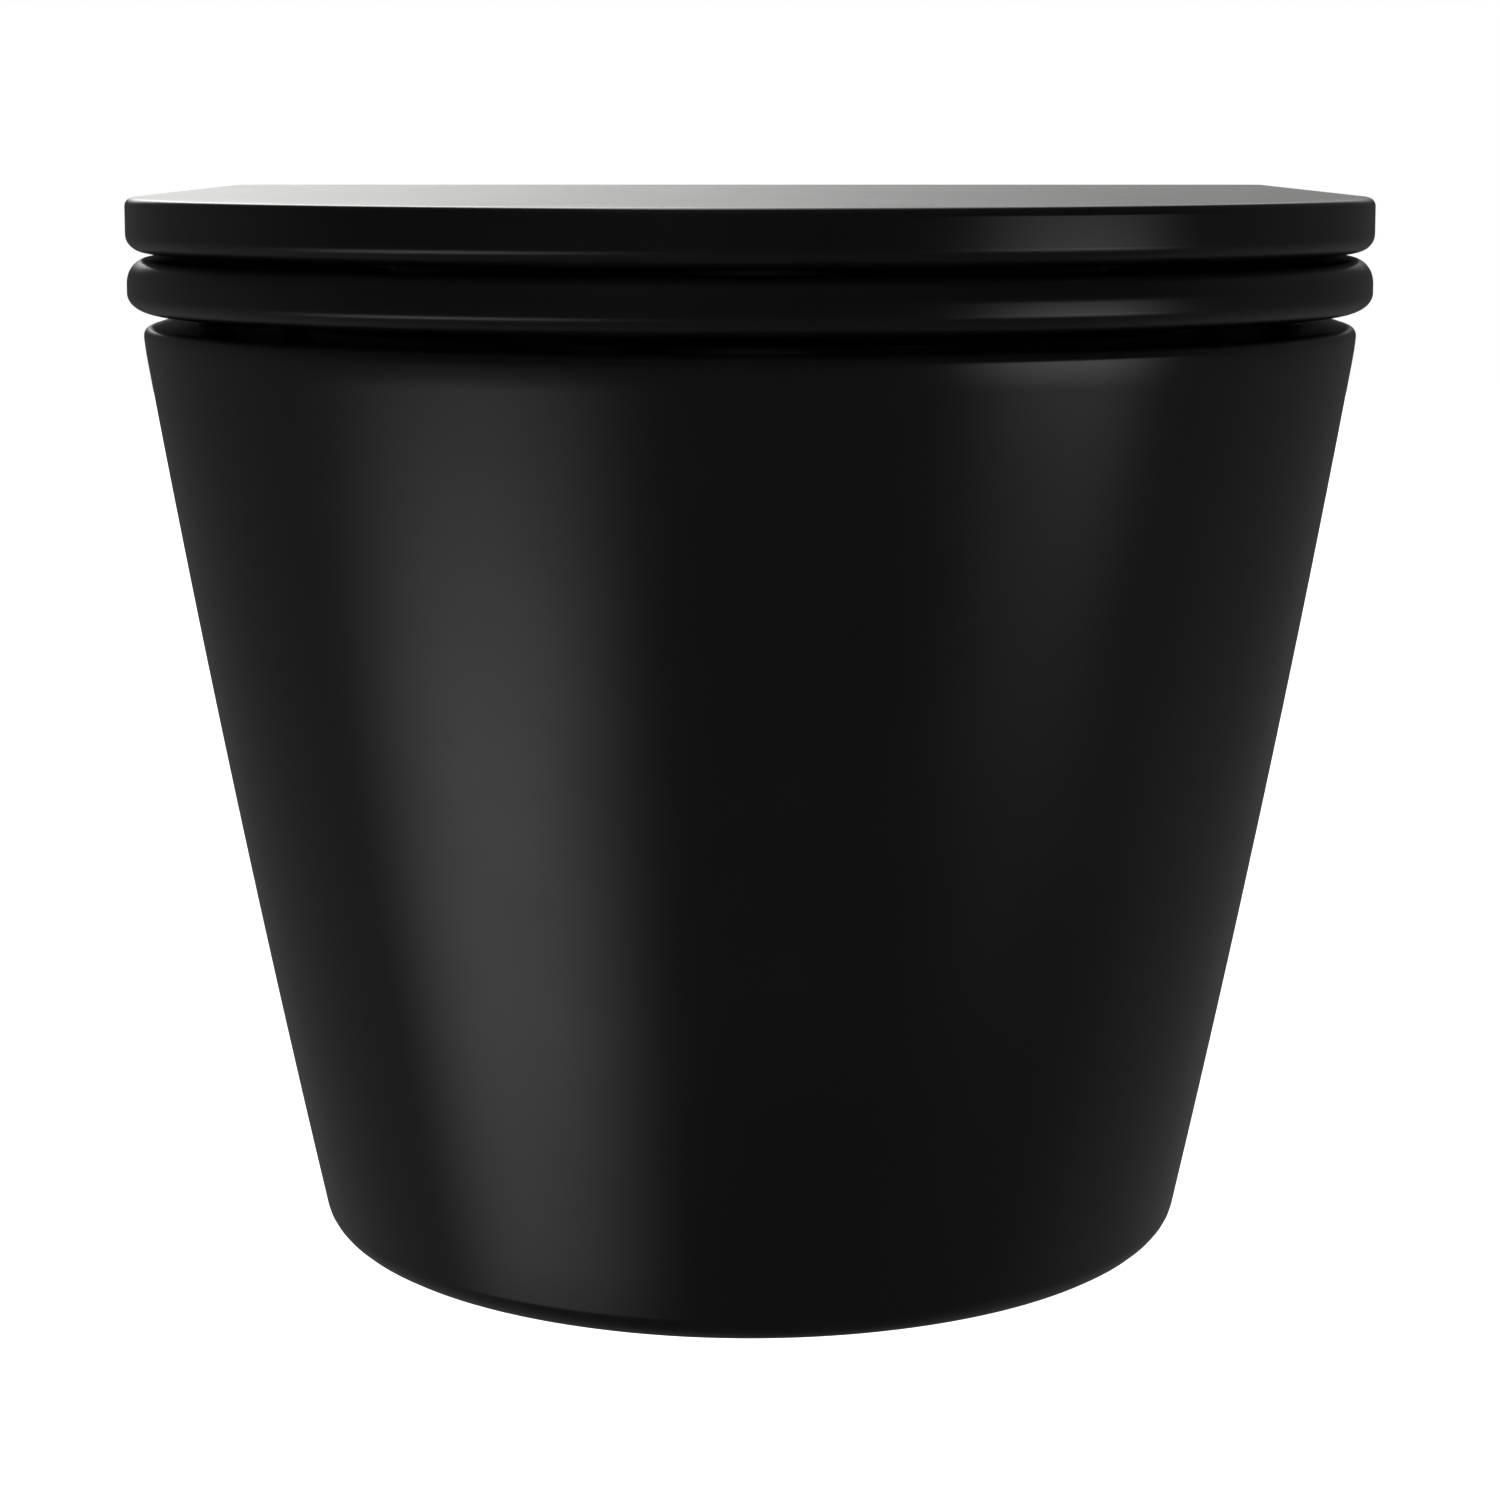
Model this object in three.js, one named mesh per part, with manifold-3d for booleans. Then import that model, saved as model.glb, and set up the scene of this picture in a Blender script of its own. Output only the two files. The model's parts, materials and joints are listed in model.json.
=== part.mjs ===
// Wall-hung toilet pan with a quick-release, soft-close seat and lid.
// Millimetres. +Z is up, the wall is the plane Y = 0 and the front points along -Y.
// The origin lies on the wall, midway between the two fixing bolts.
import * as THREE from "three";
import { mergeVertices } from "three/addons/utils/BufferGeometryUtils.js";
import Module from "manifold-3d";

const wasm = await Module();
wasm.setup();

// Driving dimensions.
const GAP = 0.3; // clearance between pieces that touch
const OVERRUN = 10; // how far a cut runs past the face that it opens
const WIDEST = -340; // Y of the line where the straight sides meet the round front
const RIM_TOP = 81.5;
const RIM_HALF = 176;
const RIM_NOSE = 176; // from the widest line to the front of the rim
const PAN_BOTTOM = -186.8;
const PAN_HEIGHT = RIM_TOP - PAN_BOTTOM;
const SIDE_SLOPE = 0.1575; // loss of half-width for each millimetre below the rim
const SIDE_BEND = 0.000098; // and how fast that slope grows
const NOSE_LOSS = 24.5; // loss of nose length from rim to base
const WIDEST_SHIFT = 16.7; // the widest line moves back by this much at the base
const SKIRT_WALL = 13;
const SHELL_WALL = 11; // ceramic round the bowl, the trap and the channel
const DECK_WALL = 14;
const RIM_ROUND = 3;
const BASE_ROUND = 7;

const BOWL_OPENING = { half: 131, front: -472, back: -152 };
const BOWL_SUMP = { half: 30, front: -262, back: -198 };
const SUMP_BOTTOM = -165;
const TRAP_RADIUS = 27;
const OUTLET_Z = -100;
const OUTLET_BORE = 42;
const OUTLET_HORN = 51;
const OUTLET_DEPTH = 88;
const INLET_Z = 35;
const INLET_BORE = 27.5;
const INLET_DEPTH = 175;

const BOLT_X = 90; // half the 180 mm spacing of the wall bolts
const SOCKET_RADIUS = 16.3;
const SOCKET_DEPTH = 78;
const BOSS_REACH = 25; // of the ceramic boss, from the bolt toward the middle
const BOSS_HALF = 27;
const LOCK_Y = -45; // distance of the side locking screw from the wall
const LOCK_RADIUS = 4;
const LOCK_WAY = 6; // radius of its way through the pan and the sleeve
const BARREL_RADIUS = 12;
const BARREL_LENGTH = 68;
const DISC_THICKNESS = 3;

const SEAT_HALF = 179.8;
const SEAT_BOTTOM = 85.3;
const SEAT_TOP = 100.9;
const SEAT_REAR = -102;
const SEAT_OPENING = { half: 112, front: -463, back: -206 };
const LID_HALF = 180;
const LID_BOTTOM = 102.6;
const LID_TOP = 118;
const LID_REAR = -95;
const LID_PANEL = 9; // thickness of the lid inside its edge

const HINGE_Y = -104;
const HINGE_Z = 98;
const POST_X = 77.5; // half the 155 mm spacing of the seat posts
const HOUSING_RADIUS = 9.5;
const HOUSING_LENGTH = 56;
const POST_RADIUS = 4;
const PIN_RADIUS = 2.8;
const KNUCKLE_RADIUS = 8;
const KNUCKLE_GAP = 0.8; // between a housing and the knuckle or lug beside it
const NOTCH_HALF = 106; // half-width of the notch in the rear of the seat
const NOTCH_FRONT = -121;
const BUTTON_Z = 93;
const STUD_RADIUS = 2.5;
const STUD_TOP = 88.7;
const SLEEVE_RADIUS = 7.4;
const SLEEVE_LOW = 54;
const DECK_HOLE = 8;
const CORNER = 6; // rounding of the rear corners of seat and lid

const LEFT = -1;
const RIGHT = 1;
const SIDES = [
  ["left", LEFT],
  ["right", RIGHT],
];

// Materials.
const finish = (color, roughness, metalness) => ({ color, roughness, metalness });
const GLAZE = finish(0x070708, 0.4, 0);
const DUROPLAST = finish(0x08080a, 0.42, 0);
const CHROME = finish(0xc8cacc, 0.12, 1);
const STEEL = finish(0x9a9da0, 0.35, 1);
const BLACK_PLASTIC = finish(0x101113, 0.4, 0);
const GREY_PLASTIC = finish(0x55585c, 0.5, 0);
const WHITE_PLASTIC = finish(0xd8d8d4, 0.5, 0);
const RUBBER = finish(0x26272a, 0.85, 0);
const BUTTON_GREY = finish(0x7b7e82, 0.35, 0);

// A closed three.js geometry as a solid for joins and cuts.
function solidOf(geometry) {
  const bare = geometry.clone();
  bare.deleteAttribute("normal");
  bare.deleteAttribute("uv");
  const merged = mergeVertices(bare, 1e-4);
  return new wasm.Manifold(
    new wasm.Mesh({
      numProp: 3,
      vertProperties: merged.attributes.position.array,
      triVerts: new Uint32Array(merged.index.array),
    }),
  );
}

function geometryOf(solid) {
  const mesh = solid.getMesh();
  const geometry = new THREE.BufferGeometry();
  geometry.setAttribute("position", new THREE.BufferAttribute(mesh.vertProperties, 3));
  geometry.setIndex(new THREE.BufferAttribute(mesh.triVerts, 1));
  geometry.computeVertexNormals();
  return geometry;
}

const root = new THREE.Group();

// Adds one piece to the assembly: a named mesh with its own material.
function piece(name, solid, look) {
  const mesh = new THREE.Mesh(geometryOf(solid), new THREE.MeshStandardMaterial(look));
  mesh.name = name;
  root.add(mesh);
}

// A closed solid through rings of equal point count, each anticlockwise seen from above, lowest first.
function loft(rings) {
  const count = rings[0].length;
  const positions = [];
  for (const ring of rings) {
    for (const point of ring) positions.push(point.x, point.y, point.z);
  }
  const index = [];
  for (let level = 0; level < rings.length - 1; level++) {
    for (let i = 0; i < count; i++) {
      const next = (i + 1) % count;
      const low = level * count;
      const high = low + count;
      index.push(low + i, low + next, high + next);
      index.push(low + i, high + next, high + i);
    }
  }
  const flat = (ring) => ring.map((point) => new THREE.Vector2(point.x, point.y));
  const top = (rings.length - 1) * count;
  for (const [a, b, c] of THREE.ShapeUtils.triangulateShape(flat(rings[0]), [])) {
    index.push(a, c, b);
  }
  for (const [a, b, c] of THREE.ShapeUtils.triangulateShape(flat(rings.at(-1)), [])) {
    index.push(top + a, top + b, top + c);
  }
  const geometry = new THREE.BufferGeometry();
  geometry.setAttribute("position", new THREE.Float32BufferAttribute(positions, 3));
  geometry.setIndex(index);
  return solidOf(geometry);
}

// D-shaped ring at height z: rear corners of the given radius, straight sides, half-ellipse front.
function dRing(half, nose, widest, rear, corner, z, steps = 32) {
  const ring = [];
  const put = (x, y) => ring.push(new THREE.Vector3(x, y, z));
  const cornerSteps = corner > 0 ? 3 : 0;
  for (let i = 0; i <= cornerSteps; i++) {
    const angle = Math.PI / 2 + (cornerSteps ? ((i / cornerSteps) * Math.PI) / 2 : 0);
    const rim = cornerSteps ? corner : 0;
    put(-half + rim + rim * Math.cos(angle), rear - rim + rim * Math.sin(angle));
  }
  for (let i = 0; i <= steps; i++) {
    const angle = Math.PI + (i / steps) * Math.PI;
    put(half * Math.cos(angle), widest + nose * Math.sin(angle));
  }
  for (let i = 0; i <= cornerSteps; i++) {
    const angle = cornerSteps ? ((i / cornerSteps) * Math.PI) / 2 : 0;
    const rim = cornerSteps ? corner : 0;
    put(half - rim + rim * Math.cos(angle), rear - rim + rim * Math.sin(angle));
  }
  return ring;
}

// Oval ring at height z, between a front and a back edge.
function ovalRing(half, front, back, z, steps = 32, squareness = 2.25) {
  const ring = [];
  const middle = (front + back) / 2;
  const reach = (back - front) / 2;
  const bend = (value) => Math.sign(value) * Math.abs(value) ** (2 / squareness);
  for (let i = 0; i < steps; i++) {
    const angle = (i / steps) * 2 * Math.PI;
    const x = half * bend(Math.cos(angle));
    const y = middle + reach * bend(Math.sin(angle));
    ring.push(new THREE.Vector3(x, y, z));
  }
  return ring;
}

// Steps round a quarter ellipse, from the flat face (full inset) to the wall (no inset).
function roundSteps(width, height, count) {
  const steps = [];
  for (let i = 0; i <= count; i++) {
    const angle = ((i / count) * Math.PI) / 2;
    steps.push({ inset: width * (1 - Math.sin(angle)), rise: height * (1 - Math.cos(angle)) });
  }
  return steps;
}

// Round bar along an axis ("x", "y" or "z") between two coordinates, centred on the given point.
function bar(axis, from, to, centre, radius, sides = 16) {
  const geometry = new THREE.CylinderGeometry(radius, radius, to - from, sides);
  if (axis === "x") geometry.rotateZ(Math.PI / 2);
  if (axis === "z") geometry.rotateX(Math.PI / 2);
  const place = new THREE.Vector3(centre[0], centre[1], centre[2]);
  place[axis] = (from + to) / 2;
  geometry.translate(place.x, place.y, place.z);
  return solidOf(geometry);
}

function block(low, high) {
  const size = high.map((value, i) => value - low[i]);
  const geometry = new THREE.BoxGeometry(size[0], size[1], size[2]);
  geometry.translate((low[0] + high[0]) / 2, (low[1] + high[1]) / 2, (low[2] + high[2]) / 2);
  return solidOf(geometry);
}

// A block given by its span in X measured outward from the middle, on the left or the right side.
function sideBlock(side, inner, outer, y, z) {
  const x = side === RIGHT ? [inner, outer] : [-outer, -inner];
  return block([x[0], y[0], z[0]], [x[1], y[1], z[1]]);
}

// A bar along X given the same way.
function sideBar(side, inner, outer, y, z, radius, sides = 16) {
  const x = side === RIGHT ? [inner, outer] : [-outer, -inner];
  return bar("x", x[0], x[1], [0, y, z], radius, sides);
}

// Tube of a round section along the centre line of the water trap.
function trapTube(radius) {
  const line = new THREE.CatmullRomCurve3([
    new THREE.Vector3(0, -246, -131),
    new THREE.Vector3(0, -220, -143),
    new THREE.Vector3(0, -188, -132),
    new THREE.Vector3(0, -160, -96),
    new THREE.Vector3(0, -137, -57),
    new THREE.Vector3(0, -108, -43),
    new THREE.Vector3(0, -84, -62),
    new THREE.Vector3(0, -70, -92),
  ]);
  const section = new THREE.Shape();
  section.absarc(0, 0, radius, 0, 2 * Math.PI);
  return solidOf(
    new THREE.ExtrudeGeometry(section, { steps: 12, curveSegments: 8, extrudePath: line }),
  );
}

// Outer section of the pan at height z, drawn in by an inset, back to the plane rear.
function panRing(z, inset, rear, steps) {
  const depth = Math.max(0, RIM_TOP - z);
  const share = depth / PAN_HEIGHT;
  const half = RIM_HALF - SIDE_SLOPE * depth - SIDE_BEND * depth * depth - inset;
  const nose = RIM_NOSE - NOSE_LOSS * share - inset;
  return dRing(half, nose, WIDEST + WIDEST_SHIFT * share, rear, 0, z, steps);
}

function panOutside() {
  const rings = [];
  for (const { inset, rise } of roundSteps(BASE_ROUND, BASE_ROUND, 3)) {
    rings.push(panRing(PAN_BOTTOM + rise, inset, 0));
  }
  const low = PAN_BOTTOM + BASE_ROUND;
  const high = RIM_TOP - RIM_ROUND;
  const levels = 5;
  for (let i = 1; i < levels; i++) {
    rings.push(panRing(low + ((high - low) * i) / levels, 0, 0));
  }
  for (const { inset, rise } of roundSteps(RIM_ROUND, RIM_ROUND, 3).reverse()) {
    rings.push(panRing(RIM_TOP - rise, inset, 0));
  }
  return loft(rings);
}

// The bowl grown by a wall: steep at the rim, closing to the sump.
function bowlVolume(wall, top) {
  const rings = [];
  const levels = 8;
  const bottom = SUMP_BOTTOM - wall;
  const mix = (from, to, share) => from + (to - from) * share;
  for (let i = levels; i >= 0; i--) {
    const share = (i / levels) ** 0.8;
    const z = mix(top, bottom, share);
    const half = mix(BOWL_OPENING.half, BOWL_SUMP.half, share ** 1.6) + wall;
    const front = mix(BOWL_OPENING.front, BOWL_SUMP.front, share ** 1.5) - wall;
    const back = mix(BOWL_OPENING.back, BOWL_SUMP.back, share ** 3) + wall;
    rings.push(ovalRing(half, front, back, z));
  }
  return loft(rings);
}

// Half-width of the pan's side at height z.
const sideHalf = (z) => RIM_HALF - SIDE_SLOPE * (RIM_TOP - z) - SIDE_BEND * (RIM_TOP - z) ** 2;
const SIDE_TILT = Math.atan(SIDE_SLOPE + 2 * SIDE_BEND * RIM_TOP);

// Turns a solid made along +X at the origin to stand square on the pan's side at the locking screw.
function onSide(side, geometry) {
  geometry.rotateY(SIDE_TILT);
  geometry.translate(sideHalf(0), 0, 0);
  if (side === LEFT) geometry.rotateZ(Math.PI);
  geometry.translate(0, LOCK_Y, 0);
  return solidOf(geometry);
}

function alongX(radius, from, to, sides = 20) {
  const geometry = new THREE.CylinderGeometry(radius, radius, to - from, sides);
  geometry.rotateZ(Math.PI / 2);
  geometry.translate((from + to) / 2, 0, 0);
  return geometry;
}

const CAP_STUB = 8;
const CAP_DEPTH = 7;
const HOLLOW_PAST_WALL = 3; // the hollow's cut runs out through the rear

// Hollow between the skirt and the bowl, open at the wall, as slip casting leaves it.
function panHollow() {
  const rings = [];
  const floor = PAN_BOTTOM + SKIRT_WALL;
  const ceiling = RIM_TOP - DECK_WALL;
  const levels = 4;
  for (let i = 0; i <= levels; i++) {
    rings.push(panRing(floor + ((ceiling - floor) * i) / levels, SKIRT_WALL, HOLLOW_PAST_WALL, 20));
  }
  const hornFront = -OUTLET_DEPTH - SHELL_WALL;
  const horn = bar("y", hornFront, OVERRUN, [0, 0, OUTLET_Z], OUTLET_HORN, 28);
  const channelWall = INLET_BORE + SHELL_WALL;
  const channel = bar("y", -INLET_DEPTH, OVERRUN, [0, 0, INLET_Z], channelWall, 28);
  let hollow = loft(rings)
    .subtract(bowlVolume(SHELL_WALL, RIM_TOP))
    .subtract(trapTube(TRAP_RADIUS + SHELL_WALL))
    .subtract(horn)
    .subtract(channel);
  for (const [, side] of SIDES) {
    const depth = [-SOCKET_DEPTH - SHELL_WALL, OVERRUN];
    const height = [-BOSS_HALF, BOSS_HALF];
    hollow = hollow.subtract(sideBlock(side, BOLT_X - BOSS_REACH, RIM_HALF, depth, height));
  }
  return hollow;
}

function pan() {
  let body = panOutside()
    .subtract(panHollow())
    .subtract(bowlVolume(0, RIM_TOP))
    .subtract(trapTube(TRAP_RADIUS))
    .subtract(bar("y", -OUTLET_DEPTH, OVERRUN, [0, 0, OUTLET_Z], OUTLET_BORE, 28))
    .subtract(bar("y", -INLET_DEPTH, OVERRUN, [0, 0, INLET_Z], INLET_BORE, 28));
  const underDeck = RIM_TOP - DECK_WALL - OVERRUN;
  for (const [, side] of SIDES) {
    body = body
      .subtract(bar("y", -SOCKET_DEPTH, OVERRUN, [side * BOLT_X, 0, 0], SOCKET_RADIUS))
      .subtract(sideBar(side, BOLT_X, RIM_HALF, LOCK_Y, 0, LOCK_WAY, 20))
      .subtract(onSide(side, alongX(CAP_STUB, -CAP_DEPTH, OVERRUN)))
      .subtract(bar("z", underDeck, RIM_TOP + OVERRUN, [side * POST_X, HINGE_Y, 0], DECK_HOLE));
  }
  return body;
}

// Slotted plastic cup in the mouth of the inlet channel, which spreads the flush round the bowl.
function flushDistributor() {
  const outer = INLET_BORE - 0.5;
  const wall = 2.5;
  const floor = 3;
  const [front, back] = [-150, -118];
  const slot = { half: 4.5, low: INLET_Z - 14, high: INLET_Z + 10, spacing: 15 };
  const at = [0, 0, INLET_Z];
  let cup = bar("y", front, back, at, outer, 28);
  cup = cup.subtract(bar("y", front + floor, back + OVERRUN, at, outer - wall, 28));
  for (const step of [-1, 0, 1]) {
    const x = step * slot.spacing;
    const low = [x - slot.half, front - floor, slot.low];
    const high = [x + slot.half, front + 2 * floor, slot.high];
    cup = cup.subtract(block(low, high));
  }
  return cup;
}

// Concealed wall fixing: the barrel is nutted to the wall bolt, the pan slides over it and a
// cone-pointed screw through the pan's side locks it.
function wallFixing(name, side) {
  const x = side * BOLT_X;
  const at = [x, 0, 0];
  const through = (radius) => bar("y", -SOCKET_DEPTH - OVERRUN, OVERRUN, at, radius);
  const boltWay = 6.3; // for an M12 bolt
  const disc = bar("y", -DISC_THICKNESS - GAP, -GAP, at, SOCKET_RADIUS - 0.5);
  piece("wall_disc_" + name, disc.subtract(through(boltWay + 0.2)), WHITE_PLASTIC);

  const barrelBack = -DISC_THICKNESS - 2 * GAP;
  const barrelFront = barrelBack - BARREL_LENGTH;
  const web = -30; // the nut bears on the barrel's web, in front of this plane
  const chamberRadius = 10.4;
  const screwReach = BOLT_X + 2 * SOCKET_RADIUS;
  const lockHole = sideBar(side, BOLT_X, screwReach, LOCK_Y, 0, LOCK_RADIUS + 0.4);
  const barrel = bar("y", barrelFront, barrelBack, at, BARREL_RADIUS)
    .subtract(bar("y", barrelFront - OVERRUN, web, at, chamberRadius))
    .subtract(through(boltWay))
    .subtract(lockHole);
  piece("fixing_barrel_" + name, barrel, STEEL);

  const nut = { thickness: 10, radius: 9.8, bore: 5.6 };
  const hexagon = bar("y", web - GAP - nut.thickness, web - GAP, at, nut.radius, 6);
  piece("fixing_nut_" + name, hexagon.subtract(through(nut.bore)), STEEL);

  const sleeve = bar("y", barrelFront - 1, barrelBack, at, SOCKET_RADIUS - GAP)
    .subtract(through(BARREL_RADIUS + GAP))
    .subtract(sideBar(side, BOLT_X, screwReach, LOCK_Y, 0, LOCK_WAY, 20));
  piece("fixing_sleeve_" + name, sleeve, GREY_PLASTIC);

  const screwTip = BOLT_X + 5.5;
  const screwHead = sideHalf(0) - CAP_DEPTH - LOCK_WAY;
  const key = { depth: 5, radius: 2.3 };
  const screw = sideBar(side, screwTip, screwHead, LOCK_Y, 0, LOCK_RADIUS).subtract(
    sideBar(side, screwHead - key.depth, screwHead + key.depth, LOCK_Y, 0, key.radius, 6),
  );
  piece("locking_screw_" + name, screw, STEEL);

  const skin = 2;
  const stub = onSide(side, alongX(CAP_STUB - GAP, -CAP_DEPTH + 1, 1));
  const inside = onSide(side, alongX(CAP_STUB - skin, -CAP_DEPTH - OVERRUN, -1.2));
  const flange = onSide(side, alongX(CAP_STUB + 2.5, 0.5, skin, 24));
  piece("side_cap_" + name, stub.subtract(inside).add(flange), GLAZE);
}

// Release button and the fork behind it, which straddles the post.
const FORK_LOW = BUTTON_Z - 1;
const FORK_HIGH = BUTTON_Z + 1;
const ARM_X = 5.05; // from the post's centre to the middle of an arm
const ARM_HALF = 0.7;
const CROSS_HALF = ARM_X + ARM_HALF;
const CROSS_NEAR = HINGE_Y + 4.4;
const CROSS_FAR = HINGE_Y + 5.5;
const CAP_HALF = 6.2;
const CAP_RISE = 4;
const BUTTON_FACE = HINGE_Y - 12;
const BUTTON_BACK = BUTTON_FACE + 4.2;
const BUTTON_SKIN = 1.2;
const BUTTON_TRAVEL = 2;
const SEAT_WAY = 6.5; // radius of the bores for dampers and bushes
const CARTRIDGE_RADIUS = 6.2;
const CARTRIDGE_LENGTH = 19.5;

// Fixing of one seat post in the hinge deck of the pan.
function seatPost(name, side) {
  const at = [side * POST_X, HINGE_Y, 0];
  const low = RIM_TOP + GAP;
  const rosette = { radius: 22, high: low + 2.2, edge: 0.8, bevel: 1.2 };
  const flangeRadius = 6.3;
  const studWay = bar("z", 0, STUD_TOP + GAP, at, STUD_RADIUS + GAP);
  const disc = bar("z", low, rosette.high - rosette.edge, at, rosette.radius, 28)
    .add(bar("z", low, rosette.high, at, rosette.radius - rosette.bevel, 28))
    .subtract(bar("z", 0, rosette.high + OVERRUN, at, flangeRadius + GAP));
  piece("post_rosette_" + name, disc, CHROME);

  const tip = 103;
  const groove = { low: FORK_LOW - 0.4, high: FORK_HIGH + 0.4, radius: 3.2 };
  const collar = bar("z", groove.low, groove.high, at, POST_RADIUS + 1).subtract(
    bar("z", groove.low - 1, groove.high + 1, at, groove.radius),
  );
  const post = bar("z", low, tip, at, POST_RADIUS)
    .add(bar("z", low, rosette.high, at, flangeRadius))
    .subtract(collar)
    .subtract(studWay);
  piece("hinge_post_" + name, post, CHROME);

  const sleeve = bar("z", SLEEVE_LOW, RIM_TOP - 0.1, at, SLEEVE_RADIUS);
  piece("expansion_sleeve_" + name, sleeve.subtract(studWay), RUBBER);

  const cone = { top: 4.5, base: SLEEVE_RADIUS - 0.4, height: 10 };
  const geometry = new THREE.CylinderGeometry(cone.top, cone.base, cone.height, 16);
  geometry.rotateX(Math.PI / 2);
  geometry.translate(at[0], at[1], SLEEVE_LOW - GAP - cone.height / 2);
  piece("cone_nut_" + name, solidOf(geometry).subtract(studWay), GREY_PLASTIC);

  const studLow = SLEEVE_LOW - cone.height - 3;
  piece("hinge_stud_" + name, bar("z", studLow, STUD_TOP, at, STUD_RADIUS), STEEL);
}

// Hinge housing: a bar on the hinge axis with a neck that drops over the post.
function hingeHousing(side) {
  const x = side * POST_X;
  const inner = POST_X - HOUSING_LENGTH / 2;
  const outer = POST_X + HOUSING_LENGTH / 2;
  const neck = { radius: 8.8, low: RIM_TOP + 2.9 };
  const boss = { front: HINGE_Y - 9.4, low: BUTTON_Z - 6 };
  const postWay = bar("z", 0, HINGE_Z + CAP_HALF, [x, HINGE_Y, 0], POST_RADIUS + GAP);
  const buttonWay = block(
    [x - CAP_HALF - GAP, BUTTON_FACE - 5, BUTTON_Z - CAP_RISE - GAP],
    [x + CAP_HALF + GAP, BUTTON_BACK + BUTTON_TRAVEL + GAP, BUTTON_Z + CAP_RISE + GAP],
  );
  const crossWay = block(
    [x - CROSS_HALF - GAP, HINGE_Y - 3, FORK_LOW - GAP],
    [x + CROSS_HALF + GAP, CROSS_FAR + BUTTON_TRAVEL + GAP, FORK_HIGH + GAP],
  );
  let body = sideBar(side, inner, outer, HINGE_Y, HINGE_Z, HOUSING_RADIUS, 24)
    .add(bar("z", neck.low, HINGE_Z, [x, HINGE_Y, 0], neck.radius))
    .add(block([x - neck.radius, boss.front, boss.low], [x + neck.radius, HINGE_Y, HINGE_Z]))
    .subtract(postWay)
    .subtract(buttonWay)
    .subtract(crossWay);
  for (const arm of [-1, 1]) {
    const middle = x + arm * ARM_X;
    const slot = block(
      [middle - ARM_HALF - GAP, BUTTON_FACE, FORK_LOW - GAP],
      [middle + ARM_HALF + GAP, HINGE_Y, FORK_HIGH + GAP],
    );
    body = body.subtract(slot);
  }
  const seatDepth = CARTRIDGE_LENGTH + 0.5;
  return body
    .subtract(sideBar(side, outer - seatDepth, outer + OVERRUN, HINGE_Y, HINGE_Z, SEAT_WAY))
    .subtract(sideBar(side, inner - OVERRUN, inner + seatDepth, HINGE_Y, HINGE_Z, SEAT_WAY));
}

// A damper cartridge or a plain bearing bush with its pivot pin; out is +1 when the pin points outward.
function pivot(side, out, bodyRadius) {
  const end = POST_X + (out * HOUSING_LENGTH) / 2;
  const pinLength = 14;
  const collarLength = 3.5;
  // Round part between two distances from the housing's end, counted along the pin.
  const part = (from, to, radius, sides) => {
    const ends = [end + out * from, end + out * to].sort((a, b) => a - b);
    return sideBar(side, ends[0], ends[1], HINGE_Y, HINGE_Z, radius, sides);
  };
  return part(-CARTRIDGE_LENGTH, -0.5, bodyRadius)
    .add(part(-1, pinLength, PIN_RADIUS, 20))
    .add(part(-CARTRIDGE_LENGTH, collarLength - CARTRIDGE_LENGTH, CARTRIDGE_RADIUS));
}

// Release button: an oval cap with a fork whose cross-bar lies behind the post.
function releaseButton(side) {
  const x = side * POST_X;
  const springWay = 3.1;
  const outline = new THREE.Shape();
  const flat = CAP_HALF - CAP_RISE;
  outline.moveTo(-flat, -CAP_RISE);
  outline.lineTo(flat, -CAP_RISE);
  outline.absarc(flat, 0, CAP_RISE, -Math.PI / 2, Math.PI / 2);
  outline.lineTo(-flat, CAP_RISE);
  outline.absarc(-flat, 0, CAP_RISE, Math.PI / 2, 1.5 * Math.PI);
  const cap = new THREE.ExtrudeGeometry(outline, {
    depth: BUTTON_BACK - BUTTON_FACE,
    bevelEnabled: false,
    curveSegments: 6,
  });
  cap.rotateX(Math.PI / 2);
  cap.translate(x, BUTTON_BACK, BUTTON_Z);
  let button = solidOf(cap).subtract(
    bar("y", BUTTON_FACE + BUTTON_SKIN, BUTTON_BACK + 5, [x, 0, BUTTON_Z], springWay, 20),
  );
  for (const arm of [-1, 1]) {
    const middle = x + arm * ARM_X;
    const rail = block(
      [middle - ARM_HALF, BUTTON_BACK - 1, FORK_LOW],
      [middle + ARM_HALF, CROSS_FAR, FORK_HIGH],
    );
    button = button.add(rail);
  }
  const crossBar = block(
    [x - CROSS_HALF, CROSS_NEAR, FORK_LOW],
    [x + CROSS_HALF, CROSS_FAR, FORK_HIGH],
  );
  return button.add(crossBar);
}

// Coil spring that returns the button.
function buttonSpring(side) {
  const front = BUTTON_FACE + BUTTON_SKIN + GAP;
  const back = HINGE_Y - POST_RADIUS - 2;
  const wire = 0.3;
  const coil = 2.3;
  const turns = 3;
  const points = [];
  const steps = turns * 10;
  for (let i = 0; i <= steps; i++) {
    const angle = (i / steps) * turns * 2 * Math.PI;
    const y = front + wire + ((back - front - 2 * wire) * i) / steps;
    points.push(
      new THREE.Vector3(side * POST_X + coil * Math.cos(angle), y, BUTTON_Z + coil * Math.sin(angle)),
    );
  }
  const section = new THREE.Shape();
  section.absarc(0, 0, wire, 0, 2 * Math.PI);
  const path = new THREE.CatmullRomCurve3(points);
  return solidOf(
    new THREE.ExtrudeGeometry(section, { steps: 36, curveSegments: 3, extrudePath: path }),
  );
}

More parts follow.
